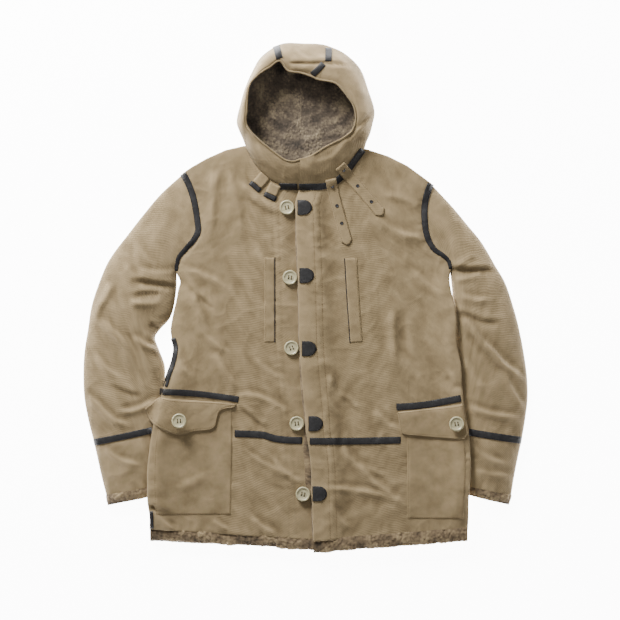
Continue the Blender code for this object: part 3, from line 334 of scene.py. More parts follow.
def even_index(points, spacing):
    """Numbers along a table that lie evenly on its curve."""
    points = np.asarray(points, dtype=float)
    steps = np.r_[0, np.cumsum(np.linalg.norm(np.diff(points, axis=0), axis=1))]
    count = max(3, int(math.ceil(steps[-1] / spacing)) + 1)
    return np.interp(np.linspace(0, steps[-1], count), steps, np.arange(len(points)))


def refined(grid, spacing):
    """A coarse grid of points as a fine one on the same smooth surface."""
    grid = np.asarray(grid, dtype=float)
    rows = even_index(grid[:, grid.shape[1] // 2], spacing)
    columns = even_index(grid[grid.shape[0] // 2], spacing)
    fine = curve_at(grid, rows)
    return curve_at(fine.transpose(1, 0, 2), columns).transpose(1, 0, 2)


def soften(values, sigma):
    """Blur a grid of heights along both ways, sigma in cells."""
    reach = max(1, int(3 * sigma))
    kernel = np.exp(-0.5 * (np.arange(-reach, reach + 1) / sigma) ** 2)
    kernel /= kernel.sum()
    for axis in (0, 1):
        padding = [(0, 0), (0, 0)]
        padding[axis] = (reach, reach)
        padded = np.pad(values, padding, mode="reflect", reflect_type="odd")
        size = values.shape[axis]
        values = sum(k * np.take(padded, np.arange(n, n + size), axis=axis)
                     for n, k in enumerate(kernel))
    return values


def widest(values, reach):
    """Highest value within some cells of each."""
    out = values.copy()
    for axis in (0, 1):
        padding = [(0, 0), (0, 0)]
        padding[axis] = (reach, reach)
        padded = np.pad(out, padding, mode="edge")
        size = values.shape[axis]
        out = np.max([np.take(padded, np.arange(n, n + size), axis=axis)
                      for n in range(2 * reach + 1)], axis=0)
    return out


def filled(values):
    """Give each empty cell the mean of its known neighbours."""
    values = values.copy()
    while np.isnan(values).any():
        padded = np.pad(values, 1, constant_values=np.nan)
        near = np.array([padded[1 + a:padded.shape[0] - 1 + a, 1 + b:padded.shape[1] - 1 + b]
                         for a, b in ((0, 1), (0, -1), (1, 0), (-1, 0))])
        known = ~np.isnan(near)
        if not known.any():
            return np.zeros_like(values)
        mean = np.where(known, near, 0).sum(axis=0) / np.maximum(known.sum(axis=0), 1)
        empty = np.isnan(values) & known.any(axis=0)
        values[empty] = mean[empty]
    return values


# Random relief, always from the same seeds
def ripple(x, y, size, seed):
    """Smooth random height from -1 to 1 with features of that size in millimetres."""
    table = np.random.default_rng(seed).uniform(-1, 1, (64, 64))
    u, v = np.asarray(x) / size + 500.3, np.asarray(y) / size + 500.7
    i, j = np.floor(u).astype(int), np.floor(v).astype(int)
    a, b = smooth(u - i), smooth(v - j)
    i0, j0, i1, j1 = i % 64, j % 64, (i + 1) % 64, (j + 1) % 64
    return ((table[i0, j0] * (1 - a) + table[i1, j0] * a) * (1 - b)
            + (table[i0, j1] * (1 - a) + table[i1, j1] * a) * b)


def rumple(x, y, size, seed):
    """Cloth-like random relief: soft cells with some sharper ridges between them."""
    warp = size * 0.6
    u = x + warp * ripple(x, y, size * 1.7, seed + 1)
    v = y + warp * ripple(x, y, size * 1.7, seed + 2)
    ridge = 1 - np.abs(ripple(u, v, size, seed))
    return 0.55 * ripple(u, v, size * 1.3, seed + 3) + 0.45 * (2 * ridge ** 3 - 0.7)


def tufts(u, v, size, seed):
    """Round tufts of pile, 0 between them and 1 at their tips."""
    rng = np.random.default_rng(seed)
    jitter = rng.uniform(0.1, 0.9, (64, 64, 2))
    tall = rng.uniform(0.6, 1.0, (64, 64))
    a, b = np.asarray(u) / size + 300, np.asarray(v) / size + 300
    i, j = np.floor(a).astype(int), np.floor(b).astype(int)
    best = np.full(a.shape, 9.0)
    height = np.zeros(a.shape)
    for di in (-1, 0, 1):
        for dj in (-1, 0, 1):
            cell = (i + di) % 64, (j + dj) % 64
            away = np.hypot(a - i - di - jitter[cell][..., 0], b - j - dj - jitter[cell][..., 1])
            nearer = away < best
            best = np.where(nearer, away, best)
            height = np.where(nearer, tall[cell], height)
    return height * np.clip(1 - best ** 2, 0, 1) ** 0.7


def along(line, x, y):
    """Length along a line to the nearest point on it, and the signed distance from it."""
    line = np.asarray(line, dtype=float)
    best = np.full(np.shape(x), 1e9)
    station, side = np.zeros(np.shape(x)), np.zeros(np.shape(x))
    walked = 0.0
    for start, end in zip(line, line[1:]):
        step = end - start
        length = math.hypot(*step)
        ux, uy = step / length
        on = np.clip((x - start[0]) * ux + (y - start[1]) * uy, 0, length)
        dx, dy = x - start[0] - on * ux, y - start[1] - on * uy
        away = np.hypot(dx, dy)
        nearer = away < best
        best = np.where(nearer, away, best)
        station = np.where(nearer, walked + on, station)
        side = np.where(nearer, np.sign(dx * uy - dy * ux), side)
        walked += length
    return station, best * np.where(side == 0, 1, side)


def seam(x, y, line, seed, groove=0.5, pucker=0.5, reach=12, spacing=8):
    """Sewn line: a narrow groove and short puckers that run away from it."""
    station, away = along(line, x, y)
    away = np.abs(away)
    waves = ripple(station, away * 0.15, spacing, seed)
    waves += 0.5 * ripple(station, away * 0.2, spacing * 0.45, seed + 5)
    return pucker * waves * np.exp(-(away / reach) ** 2) - groove * np.exp(-(away / GROOVE) ** 2)


def creases(x, y, table, seed):
    """Listed folds: uneven ridges or troughs with a softer dip beside each."""
    total = np.zeros_like(x)
    for k, (x0, y0, x1, y1, wide, rise, bow) in enumerate(table):
        length = math.hypot(x1 - x0, y1 - y0)
        ux, uy = (x1 - x0) / length, (y1 - y0) / length
        part = ((x - x0) * ux + (y - y0) * uy) / length
        off = (x - x0) * uy - (y - y0) * ux - bow * 4 * part * (1 - part)
        off = off + 0.35 * wide * ripple(part * length, off * 0, 34, seed + k)
        swell = smooth((part + 0.12) / 0.32) * smooth((1.12 - part) / 0.4)
        swell *= 0.8 + 0.3 * ripple(part * length, off * 0, 21, seed + 50 + k)
        body = np.exp(-(off / wide) ** 2 * np.where(off > 0, 1.0, 2.6))
        dip = 0.4 * np.exp(-((off + 1.25 * wide) / (0.8 * wide)) ** 2)
        total += rise * swell * (body - dip)
    return total


# Search trees and laying
def world(points):
    """Table millimetres to the model's metres."""
    out = np.array(points, dtype=float)
    out[..., 1] -= ORIGIN_Y
    return out * MM


def tree_of(*names):
    """Search tree, in table millimetres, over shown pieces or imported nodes."""
    points, faces = [], []
    for name in names:
        mesh = (shown.get(name) or frame["nodes"][name]).data
        co = np.empty(len(mesh.vertices) * 3)
        mesh.vertices.foreach_get("co", co)
        co = co.reshape(-1, 3) / MM + np.array([0, ORIGIN_Y, 0])
        start = len(points)
        points.extend(co.tolist())
        faces.extend([[start + v for v in polygon.vertices] for polygon in mesh.polygons])
    return BVHTree.FromPolygons(points, faces)


def top_of(tree, plan, upward=False):
    """Height of a tree's surface over each plan point, seen from above or from below."""
    start, way = (-60.0, Vector((0, 0, 1))) if upward else (400.0, Vector((0, 0, -1)))
    flat = plan[..., :2].reshape(-1, 2)
    out = np.full(len(flat), np.nan)
    for k, (x, y) in enumerate(flat.tolist()):
        hit = tree.ray_cast(Vector((x, y, start)), way)[0]
        if hit is not None:
            out[k] = hit.z
    return out.reshape(plan.shape[:-1])


def with_height(plan, height):
    """Plan points with their heights as the third value."""
    return np.dstack([plan[..., :2], height])


def edge_distance(plan):
    """Distance of each grid point from the nearest edge of its grid."""
    across = np.linalg.norm(np.diff(plan[..., :2], axis=1), axis=2)
    down = np.linalg.norm(np.diff(plan[..., :2], axis=0), axis=2)
    left = np.hstack([np.zeros((plan.shape[0], 1)), np.cumsum(across, axis=1)])
    top = np.vstack([np.zeros((1, plan.shape[1])), np.cumsum(down, axis=0)])
    return np.minimum(np.minimum(left, left[:, -1:] - left), np.minimum(top, top[-1:] - top))


def turned_under(grid, depth):
    """Add a rolled and turned-under margin round a cloth grid."""
    profile = ((0.8, 0.2 * depth), (1.0, 0.6 * depth), (0.2, 0.95 * depth), (-MARGIN, depth))
    for axis, last in ((0, False), (0, True), (1, False), (1, True)):
        edge = np.take(grid, -1 if last else 0, axis=axis)
        inner = np.take(grid, -3 if last else 2, axis=axis)
        out = edge - inner
        out[:, 2] = 0
        out /= np.maximum(np.linalg.norm(out, axis=1, keepdims=True), 1e-6)
        new = [edge + out * shift - np.array([0, 0, drop]) for shift, drop in profile]
        if not last:
            new = new[::-1]
        block = np.stack(new, axis=axis)
        grid = np.concatenate([grid, block] if last else [block, grid], axis=axis)
    return grid


def grid_piece(name, grid, material, marks=None):
    """A grid primitive shaped to the points of a piece, with its UV map in metres."""
    rows, columns = grid.shape[:2]
    bpy.ops.object.select_all(action="DESELECT")
    bpy.ops.mesh.primitive_grid_add(x_subdivisions=columns - 1, y_subdivisions=rows - 1)
    piece = bpy.context.active_object
    piece.name = piece.data.name = name
    mesh = piece.data
    mesh.vertices.foreach_set("co", world(grid).ravel())
    across = np.linalg.norm(np.diff(grid, axis=1), axis=2)
    down = np.linalg.norm(np.diff(grid, axis=0), axis=2)
    u = np.hstack([np.zeros((rows, 1)), np.cumsum(across, axis=1)])
    v = np.vstack([np.zeros((1, columns)), np.cumsum(down, axis=0)])
    u -= u[:, columns // 2][:, None]
    spots = np.stack([u, v], axis=2).reshape(-1, 2) * MM
    index = np.empty(len(mesh.loops), dtype=int)
    mesh.loops.foreach_get("vertex_index", index)
    mesh.uv_layers.active.data.foreach_set("uv", spots[index].ravel())
    for key, values in (marks or {}).items():
        layer = mesh.attributes.new(key, "FLOAT", "POINT")
        layer.data.foreach_set("value", values.ravel())
    mesh.update()
    normals = np.empty(len(mesh.polygons) * 3)
    mesh.polygons.foreach_get("normal", normals)
    if normals[2::3].sum() < 0:
        mesh.flip_normals()
    bpy.ops.object.shade_smooth()
    return finish_piece(piece, material)


def finish_piece(piece, material):
    """Material and body of a piece, which is then listed as shown."""
    mesh = piece.data
    mesh.materials.clear()
    mesh.materials.append(material)
    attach(piece, "root")
    shown[piece.name] = piece
    return piece


def hollows(height, cells=5.0):
    """How far each point stands over its neighbourhood, about -1 to 1: the mark for painted shade in
    hollows and painted light on raised parts.
    """
    return np.clip((height - soften(height, cells)) / 1.2, -1, 1)


# Materials
def node(tree, kind, settings=None, inputs=None):
    """Adds a node with its settings; an input is a value or a (node, output) pair."""
    made = tree.nodes.new(kind)
    for key, value in (settings or {}).items():
        setattr(made, key, value)
    for key, value in (inputs or {}).items():
        if isinstance(value, tuple) and isinstance(value[0], bpy.types.Node):
            tree.links.new(value[0].outputs[value[1]], made.inputs[key])
        else:
            made.inputs[key].default_value = value
    return made


def finish_of(name, light, base, dark, roughness, grain, bump, wave=None, mark="hollow",
              sheen=0.0, mottling=30.0, depth=0.13):
    """A surface with mottled colour, painted shade that darkens its hollows and painted light on its
    raised parts, and a fine grain, on the piece's own UV map.
    """
    material = bpy.data.materials.new(name)
    material.use_nodes = True
    tree = material.node_tree
    surface = tree.nodes["Principled BSDF"]
    surface.inputs["Roughness"].default_value = roughness
    surface.inputs["Sheen Weight"].default_value = sheen
    place = node(tree, "ShaderNodeTexCoord")
    uv = (place, "UV")
    blotch = node(tree, "ShaderNodeTexNoise", None, {"Vector": uv, "Scale": mottling, "Detail": 6.0})
    # Shading mark read from the piece: painted shade where it is low, painted light where it is high
    painted_shading_mark = node(tree, "ShaderNodeAttribute", {"attribute_name": mark})
    lift = node(tree, "ShaderNodeMath", {"operation": "MULTIPLY_ADD"},
                {0: (painted_shading_mark, "Fac"), 1: depth, 2: (blotch, "Fac")})
    # Ramp from dark through base to light: random mottling from the noise, plus painted shade and
    # painted light from the shading mark
    ramp = node(tree, "ShaderNodeValToRGB", None, {"Fac": (lift, "Value")})
    ramp.color_ramp.elements[0].position = 0.2
    ramp.color_ramp.elements[0].color = (*linear(dark), 1)
    ramp.color_ramp.elements[1].position = 0.85
    ramp.color_ramp.elements[1].color = (*linear(light), 1)
    ramp.color_ramp.elements.new(0.5).color = (*linear(base), 1)
    tree.links.new(ramp.outputs["Color"], surface.inputs["Base Color"])
    fine = node(tree, "ShaderNodeTexNoise", None, {"Vector": uv, "Scale": grain, "Detail": 3.0})
    height = (fine, "Fac")
    if wave:
        rib = node(tree, "ShaderNodeTexWave", {"bands_direction": "DIAGONAL"},
                   {"Vector": uv, "Scale": wave, "Distortion": 1.5, "Detail": 1.0})
        height = (node(tree, "ShaderNodeMath", {"operation": "ADD"},
                       {0: (fine, "Fac"), 1: (rib, "Fac")}), "Value")
    relief = node(tree, "ShaderNodeBump", None,
                  {"Height": height, "Strength": bump, "Distance": 0.0006})
    tree.links.new(relief.outputs["Normal"], surface.inputs["Normal"])
    return material


def make_finishes():
    """Every material of the jacket, by the key that pieces name."""
    return {
        # Heavy cotton twill, washed: matt, painted light on raised folds and painted shade in their
        # hollows; rib drawn at 2.4 mm
        "cloth": finish_of("washed cotton twill", "#978361", "#806E4E", "#675638", 0.86, 900.0,
                           0.35, 130.0, sheen=0.1),
        # Curly wool-like pile: dull, painted shade between the tufts and painted light on their tips
        "pile": finish_of("curly acrylic pile", "#93805F", "#6B5A42", "#241C12", 1.0, 1400.0,
                          0.8, mark="tuft", sheen=0.2, depth=0.5),
        # Hood pile, shorter and greyer; painted shade between the tufts and painted light on their tips
        "lining": finish_of("short acrylic pile", "#8B7C63", "#52473A", "#1C1711", 1.0, 1400.0,
                            0.8, mark="tuft", sheen=0.2, mottling=18.0, depth=0.42),
        # Pigmented goatskin: fine grain, soft blue-black gloss; painted shade at its rounded edges and
        # in its hollows
        "leather": finish_of("black goatskin", "#141112", "#0A0809", "#040304", 0.55, 1300.0,
                             0.6, mottling=160.0),
        # Moulded urea plastic: satin, faintly mottled
        "button": finish_of("cream urea plastic", "#C2BB9C", "#AAA27F", "#80775A", 0.34, 500.0,
                            0.05, mottling=120.0),
        # Cotton thread, and the waxed one on the leather; the waxed one's dark finish also stands in as
        # painted shade in the welt slits, strap holes and button holes
        "thread": finish_of("tan cotton thread", "#75613C", "#584626", "#3A2C16", 0.9, 2000.0, 0.2),
        "dark_thread_and_opening_shade": finish_of("black waxed thread and painted opening shade", "#332F31", "#1B181A", "#0A090A", 0.6,
                                 2000.0, 0.2),
    }


finishes = {}


# Body
def panel_plan(side, top, other_rows, spacing, columns):
    """Fine plan grid of a panel between its side edge and its other edge."""
    row_at = even_index([row[:2] for row in side], spacing)
    fine_side = curve_at(np.array(side, dtype=float), row_at)
    other = curve_at(np.array(other_rows, dtype=float), row_at)
    column_at = even_index([row[:2] for row in top], columns)
    share = np.interp(column_at, np.arange(len(top)), [row[2] for row in top])
    curve = np.stack([np.interp(column_at, np.arange(len(top)), [row[k] for row in top])
                      for k in (0, 1)], axis=1)
    first, last = np.array(side[0][:2]), np.array(other_rows[0])
    bend = curve - (first * (1 - share[:, None]) + last * share[:, None])
    s = share[None, :, None]
    follow = np.clip(fine_side[:, 3], 0, 1)[:, None, None]
    return fine_side[:, None, :2] * (1 - s) + other[:, None, :] * s + follow * bend[None]


def front_end_rows(side, top, reach):
    """Front edge points, one for each row of the side table."""
    edge = np.array(FRONT_EDGE, dtype=float)[::-1]
    rows = []
    for _, y, _, follow, settle in side:
        at = y - (side[0][1] - top[-1][1]) * follow - HEM_DROP * settle
        rows.append((float(np.interp(at, edge[:, 1], edge[:, 0])) + reach, at))
    rows[0] = top[-1][:2]
    return rows


def cloth_relief(x, y, seed):
    """Small rumples that lie all over the cloth."""
    return (1.1 * rumple(x, y, 62, seed) + 0.65 * rumple(x, y, 24, seed + 10)
            + 0.24 * rumple(x, y, 10, seed + 20))


def setting(name):
    """A setting of the add-on, rounded because Blender keeps it in single precision."""
    return round(getattr(bpy.context.scene.jacket, name), 4)


def dress_panel(name, plan, fold_table, seams, seed):
    """Fine panel on its solid's top, with folds, rumples and puckered seams."""
    base = soften(filled(top_of(tree_of(name), plan)), PANEL_BLUR)
    x, y = plan[..., 0], plan[..., 1]
    height = base + setting("fold_rise") * creases(x, y, fold_table, seed) + cloth_relief(x, y, seed)
    for k, (line, extra) in enumerate(seams):
        height += seam(x, y, line, seed + 30 + k, **extra)
    grid = turned_under(with_height(plan, height), PANEL_TURN)
    # Relief mark: painted shade in the hollows of folds and seams, painted light on their ridges
    piece = grid_piece(name + "_cloth", grid, finishes["cloth"],
                       marks={"hollow": hollows(grid[..., 2])})
    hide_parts(name)
    return piece, with_height(plan, height)


def offset_line(line, shift):
    """A line moved sideways, to its left where the shift is positive."""
    line = np.array(line, dtype=float)[:, :2]
    ahead = np.gradient(line, axis=0)
    ahead /= np.linalg.norm(ahead, axis=1, keepdims=True)
    return line + np.stack([-ahead[:, 1], ahead[:, 0]], axis=1) * shift


def rows_line(table, start=0, stop=None):
    """The x and y of a table's rows."""
    return [row[:2] for row in table[start:stop]]


def make_back():
    """Back panel, flat on the surface, with its underside seen from below."""
    plan = panel_plan(LEFT_SIDE, BACK_TOP, rows_line(RIGHT_SIDE), 6.0, 6.0)
    low = soften(filled(top_of(tree_of("back"), plan, upward=True)), 1.0)
    rise = 1.4 * smooth(edge_distance(plan) / 30) * (0.5 + 0.5 * rumple(
        plan[..., 0], plan[..., 1], 50, 9)) + 0.3
    grid = turned_under(with_height(plan, -(low + rise)), 5.0)
    grid[..., 2] *= -1
    # Relief mark, turned for the underside: painted shade in hollows, painted light on ridges
    piece = grid_piece("back_cloth", grid[:, ::-1], finishes["cloth"],
                       marks={"hollow": -hollows(grid[:, ::-1, 2], 3.0)})
    piece.data.flip_normals()
    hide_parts("back")


FACING_SEAMS = (34, 47)      # sewn lines beside the front edge


def facing_seams(side):
    """The two sewn lines beside the front edge, for a panel on that side."""
    edge = [row[:2] for row in FRONT_EDGE]
    return [(offset_line(edge, shift * side), dict(groove=0.5, pucker=0.5, reach=9, spacing=9))
            for shift in FACING_SEAMS]


def make_fronts():
    """Both front panels, the upper one lapping over the lower one."""
    for side, table, top, reach, fold_table, seed in (
            ("left", LEFT_SIDE, LEFT_TOP, UNDERLAP, LEFT_FRONT_CREASES, 100),
            ("right", RIGHT_SIDE, RIGHT_TOP, 0, RIGHT_FRONT_CREASES, 200)):
        plan = panel_plan(table, top, front_end_rows(table, top, reach), 2.6, 2.4)
        arm = rows_line(table, 0, ARMHOLE_ROWS)
        strong = dict(groove=0.4, pucker=1.0, reach=16, spacing=11)
        lines = [(arm, strong)] + facing_seams(1 if side == "right" else -1)
        lines += [([(p[0], p[1]) for p in TAPES[f"{trim}_{side}"][0]], strong)
                  for trim in ("waist_tape", "pocket_tape", "neck_tape")]
        rows = POCKETS[f"pocket_{side}"]
        for column in (1, 2):
            lines.append(([(row[column], row[0]) for row in rows],
                          dict(groove=0.2, pucker=0.7, reach=10, spacing=8)))
        lines.append((plan[-1, ::12], dict(groove=0.0, pucker=1.0, reach=16, spacing=12)))
        piece, grid = dress_panel(f"front_{side}", plan, fold_table, lines, seed)


def tube(rows, folds, seed, follow, pucker_rows):
    """Flattened sleeve: a closed ring of points at each station."""
    outline = np.array(rows, dtype=float)
    at = even_index(outline[:, :2], SLEEVE_SPACING)
    fine = curve_at(outline, at)
    theta = np.linspace(0, 2 * math.pi, RING_POINTS)
    s = 0.5 * (1 - np.cos(theta))
    on_top = theta <= math.pi
    ends = fine[:, None, :2] * (1 - s[None, :, None]) + fine[:, None, 2:4] * s[None, :, None]
    if follow is not None:
        hole = np.array(rows_line(follow, 0, ARMHOLE_ROWS), dtype=float)
        steps = np.r_[0, np.cumsum(np.linalg.norm(np.diff(hole, axis=0), axis=1))]
        arc = np.stack([np.interp(s, steps / steps[-1], hole[:, k]) for k in (0, 1)], axis=1)
        bend = arc - (hole[0] * (1 - s[:, None]) + hole[-1] * s[:, None])
        ends += smooth(1 - at)[:, None, None] * bend[None]
    x, y = ends[..., 0], ends[..., 1]
    crown = np.abs(np.sin(theta))
    height = fine[:, 4:5]
    top = SLEEVE_EDGE + (height - SLEEVE_EDGE) * crown ** 1.05
    relief = setting("fold_rise") * creases(x, y, folds, seed) + cloth_relief(x, y, seed)
    for k, row in enumerate(pucker_rows):
        relief += seam(x, y, row, seed + 40 + k, groove=0.3, pucker=1.1, reach=18, spacing=11)
    top = top + relief * smooth(crown * 1.6)
    low = SLEEVE_EDGE * (1 - smooth(crown * 3))
    return np.dstack([x, y, np.where(on_top, np.maximum(top, low + 0.5), low)])


def make_sleeves():
    """Upper and lower sleeves as flattened tubes, and the pile at their cuffs."""
    for side, table, hole, folds, cuff, seed in (
            ("left", LEFT_SLEEVE, LEFT_SIDE, LEFT_SLEEVE_CREASES, LEFT_CUFF, 300),
            ("right", RIGHT_SLEEVE, RIGHT_SIDE, RIGHT_SLEEVE_CREASES, RIGHT_CUFF, 400)):
        arm = rows_line(hole, 0, ARMHOLE_ROWS)
        band = [(table[FOREARM_ROW][0], table[FOREARM_ROW][1]),
                (table[FOREARM_ROW][2], table[FOREARM_ROW][3])]
        wrist = [(table[-1][0], table[-1][1]), (table[-1][2], table[-1][3])]
        for part, rows, follow in (("upper", table[:FOREARM_ROW + 1], hole),
                                   ("lower", table[FOREARM_ROW:], None)):
            name = f"sleeve_{part}_{side}"
            grid = tube(rows, folds, seed, follow, (arm, band, wrist))
            grid[:, -1] = grid[:, 0]
            # Relief mark: painted shade in the hollows of folds and seams, painted light on their ridges
            piece = grid_piece(name + "_cloth", grid, finishes["cloth"],
                               marks={"hollow": hollows(grid[..., 2])})
            close_ring(piece)
            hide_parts(name)
        grid = tube(cuff, (), seed + 7, None, ())
        grid[:, -1] = grid[:, 0]
        nap_piece(f"cuff_pile_{side}_nap", grid, f"cuff_pile_{side}", 2.8, seed, ring=True)


def close_ring(piece):
    """Join the two ends of a tube's grid."""
    bpy.ops.object.select_all(action="DESELECT")
    piece.select_set(True)
    bpy.context.view_layer.objects.active = piece
    bpy.ops.object.mode_set(mode="EDIT")
    bpy.ops.mesh.select_all(action="SELECT")
    bpy.ops.mesh.remove_doubles(threshold=0.00001)
    bpy.ops.mesh.normals_make_consistent(inside=False)
    bpy.ops.object.mode_set(mode="OBJECT")


# Pile
def grid_normals(grid):
    """Unit normal at each point of a grid."""
    across = np.gradient(grid, axis=1)
    down = np.gradient(grid, axis=0)
    normal = np.cross(across, down)
    size = np.linalg.norm(normal, axis=2, keepdims=True)
    return normal / np.maximum(size, 1e-6)


def nap_piece(name, grid, node_name, rise, seed, ring=False, material="pile", size=6.0,
              outward=None, planar=False):
    """Surface of curly pile: tufts stand out along its normals."""
    grid = refined(grid, 1.5)
    normal = grid_normals(grid)
    if outward is None:
        outward = 1.0 if normal[..., 2].sum() > 0 else -1.0
        if ring:
            middle = grid.mean(axis=(0, 1))
            outward = 1.0 if (normal * (grid - middle)).sum() > 0 else -1.0
    across = np.linalg.norm(np.diff(grid, axis=1), axis=2)
    down = np.linalg.norm(np.diff(grid, axis=0), axis=2)
    u = np.hstack([np.zeros((grid.shape[0], 1)), np.cumsum(across, axis=1)])
    v = np.vstack([np.zeros((1, grid.shape[1])), np.cumsum(down, axis=0)])
    if planar:
        u, v = grid[..., 0] + 0.6 * grid[..., 2], grid[..., 1] + 0.8 * grid[..., 2]
        v = v + 1.5 * ripple(u, v, 14, seed + 8)
    tall = 0.7 * tufts(u, v, size, seed) + 0.3 * tufts(u, v, size * 0.55, seed + 1)
    tall *= 0.8 + 0.35 * ripple(u, v, 18, seed + 2)
    out = grid + normal * outward * ((tall - 0.35) * rise * 1.5)[..., None]
    out[..., 2] = np.maximum(out[..., 2], 0.0)
    if ring or planar:
        out[:, -1] = out[:, 0]
    # Tuft height as a mark: painted shade between the tufts, painted light on their tips
    piece = grid_piece(name, out, finishes[material], marks={"tuft": 1.6 * tall - 0.8})
    if ring:
        close_ring(piece)
    if node_name:
        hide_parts(node_name)
    return piece


def strip_band(edge, low, high, fall, flare):
    """Soft folded band that hangs below an edge: over its top, round and under."""
    profile = ((-3, high), (0.3 * fall, high + flare), (0.75 * fall, high - 0.5),
               (fall, 0.5 * (high + low)), (0.75 * fall, low), (0, low))
    return np.stack([np.column_stack([edge[:, 0], edge[:, 1] - drop, np.full(len(edge), z)])
                     for drop, z in profile])


def make_hem():
    """Pile below the hem, on the back and along the front edge."""
    for side, table, top, reach, low, high, fall in (
            ("left", LEFT_SIDE, LEFT_TOP, UNDERLAP, 9.3, 14.5, 20),
            ("right", RIGHT_SIDE, RIGHT_TOP, 0, 15.0, 21.0, 23)):
        other = front_end_rows(table, top, reach)
        share = np.linspace(0, 1, 30)[:, None]
        edge = np.array(table[-1][:2]) * (1 - share) + np.array(other[-1]) * share
        edge[:, 1] += 1.5 * ripple(edge[:, 0], edge[:, 1], 30, 70)
        nap_piece(f"hem_pile_{side}_nap", strip_band(edge, low, high, fall, 1.0),
                  f"hem_pile_{side}", 3.4, 500 + len(side))
    share = np.linspace(0, 1, 40)[:, None]
    edge = np.array(LEFT_SIDE[-1][:2]) * (1 - share) + np.array(RIGHT_SIDE[-1][:2]) * share
    edge[:, 1] -= 10 * np.sin(share[:, 0] * math.pi)
    nap_piece("hem_pile_back_nap", strip_band(edge, 1.0, 7.5, 24, 0.5), "hem_pile_back", 2.6, 520)
    rows = []
    for y in np.linspace(190, -474, 80):
        table = np.array(FRONT_EDGE, dtype=float)[::-1]
        x, shows = (float(np.interp(y, table[:, 1], table[:, k])) for k in (0, 2))
        rows.append([(x - shows, y, 17.5), (x - 0.6 * shows, y, 19.5), (x, y, 20.0), (x + 8, y, 19.0)])
    grid = np.array(rows)
    base = filled(top_of(tree_of("front_left_cloth"), grid))
    grid[..., 2] = base + np.array([-0.5, 1.6, 2.4, 1.5])
    nap_piece("front_edge_nap", grid, "front_edge_pile", 1.2, 530, size=4.0)


# Hood
def wall_section(row):
    """Outer and pile profiles of the hood where it stands on the surface."""
    edge, rim, top = np.array(row[:2], float), np.array(row[2:4], float), float(row[4])
    near, far = edge * 0.65 + rim * 0.35, edge * 0.25 + rim * 0.75
    outer = ((toward(edge, 24), 0), (toward(edge, 8), 4), (toward(edge, 1), 16), (edge, 32),
             (near, top - 5), (far, top + 2), (rim, top))
    pile = ((toward(edge, 30), 12), (toward(edge, 18), 15), (toward(edge, 11), 22),
            (toward(edge, 8), 32), (toward(near, 4.4), top - 12), (far, top - 6),
            (rim, top - 5))
    return outer, pile


def toward(point, distance):
    """A point moved towards the hood's middle."""
    step = np.array(HOOD_MIDDLE, dtype=float) - point
    return point + step * distance / np.linalg.norm(step)


def chin_section(row):
    """Outer and pile profiles of the hood over the neck seam."""
    neck, rim, top = np.array(row[:2], float), np.array(row[2:4], float), float(row[4])
    neck = toward(neck, 0.6)

    def at(share):
        return neck * (1 - share) + rim * share

    def crown(share):
        return 19 + (top - 19) * math.sin(share * math.pi / 2)

    outer = ((at(0), 10), (at(0.01), 15), (at(0.03), 20), (at(0.2), crown(0.2)),
             (at(0.45), crown(0.45)), (at(0.75), crown(0.75)), (rim, top))
    pile = ((toward(at(0.8), 11), 12), (at(0.63), 15), (at(0.58), 20), (at(0.58), 24),
            (at(0.62), crown(0.5) - 9), (at(0.8), crown(0.75) - 7), (rim, top - 5))
    return outer, pile


def points_of(section):
    """Plan and height of each point of a profile as x, y, z."""
    return [[plan[0], plan[1], z] for plan, z in section]


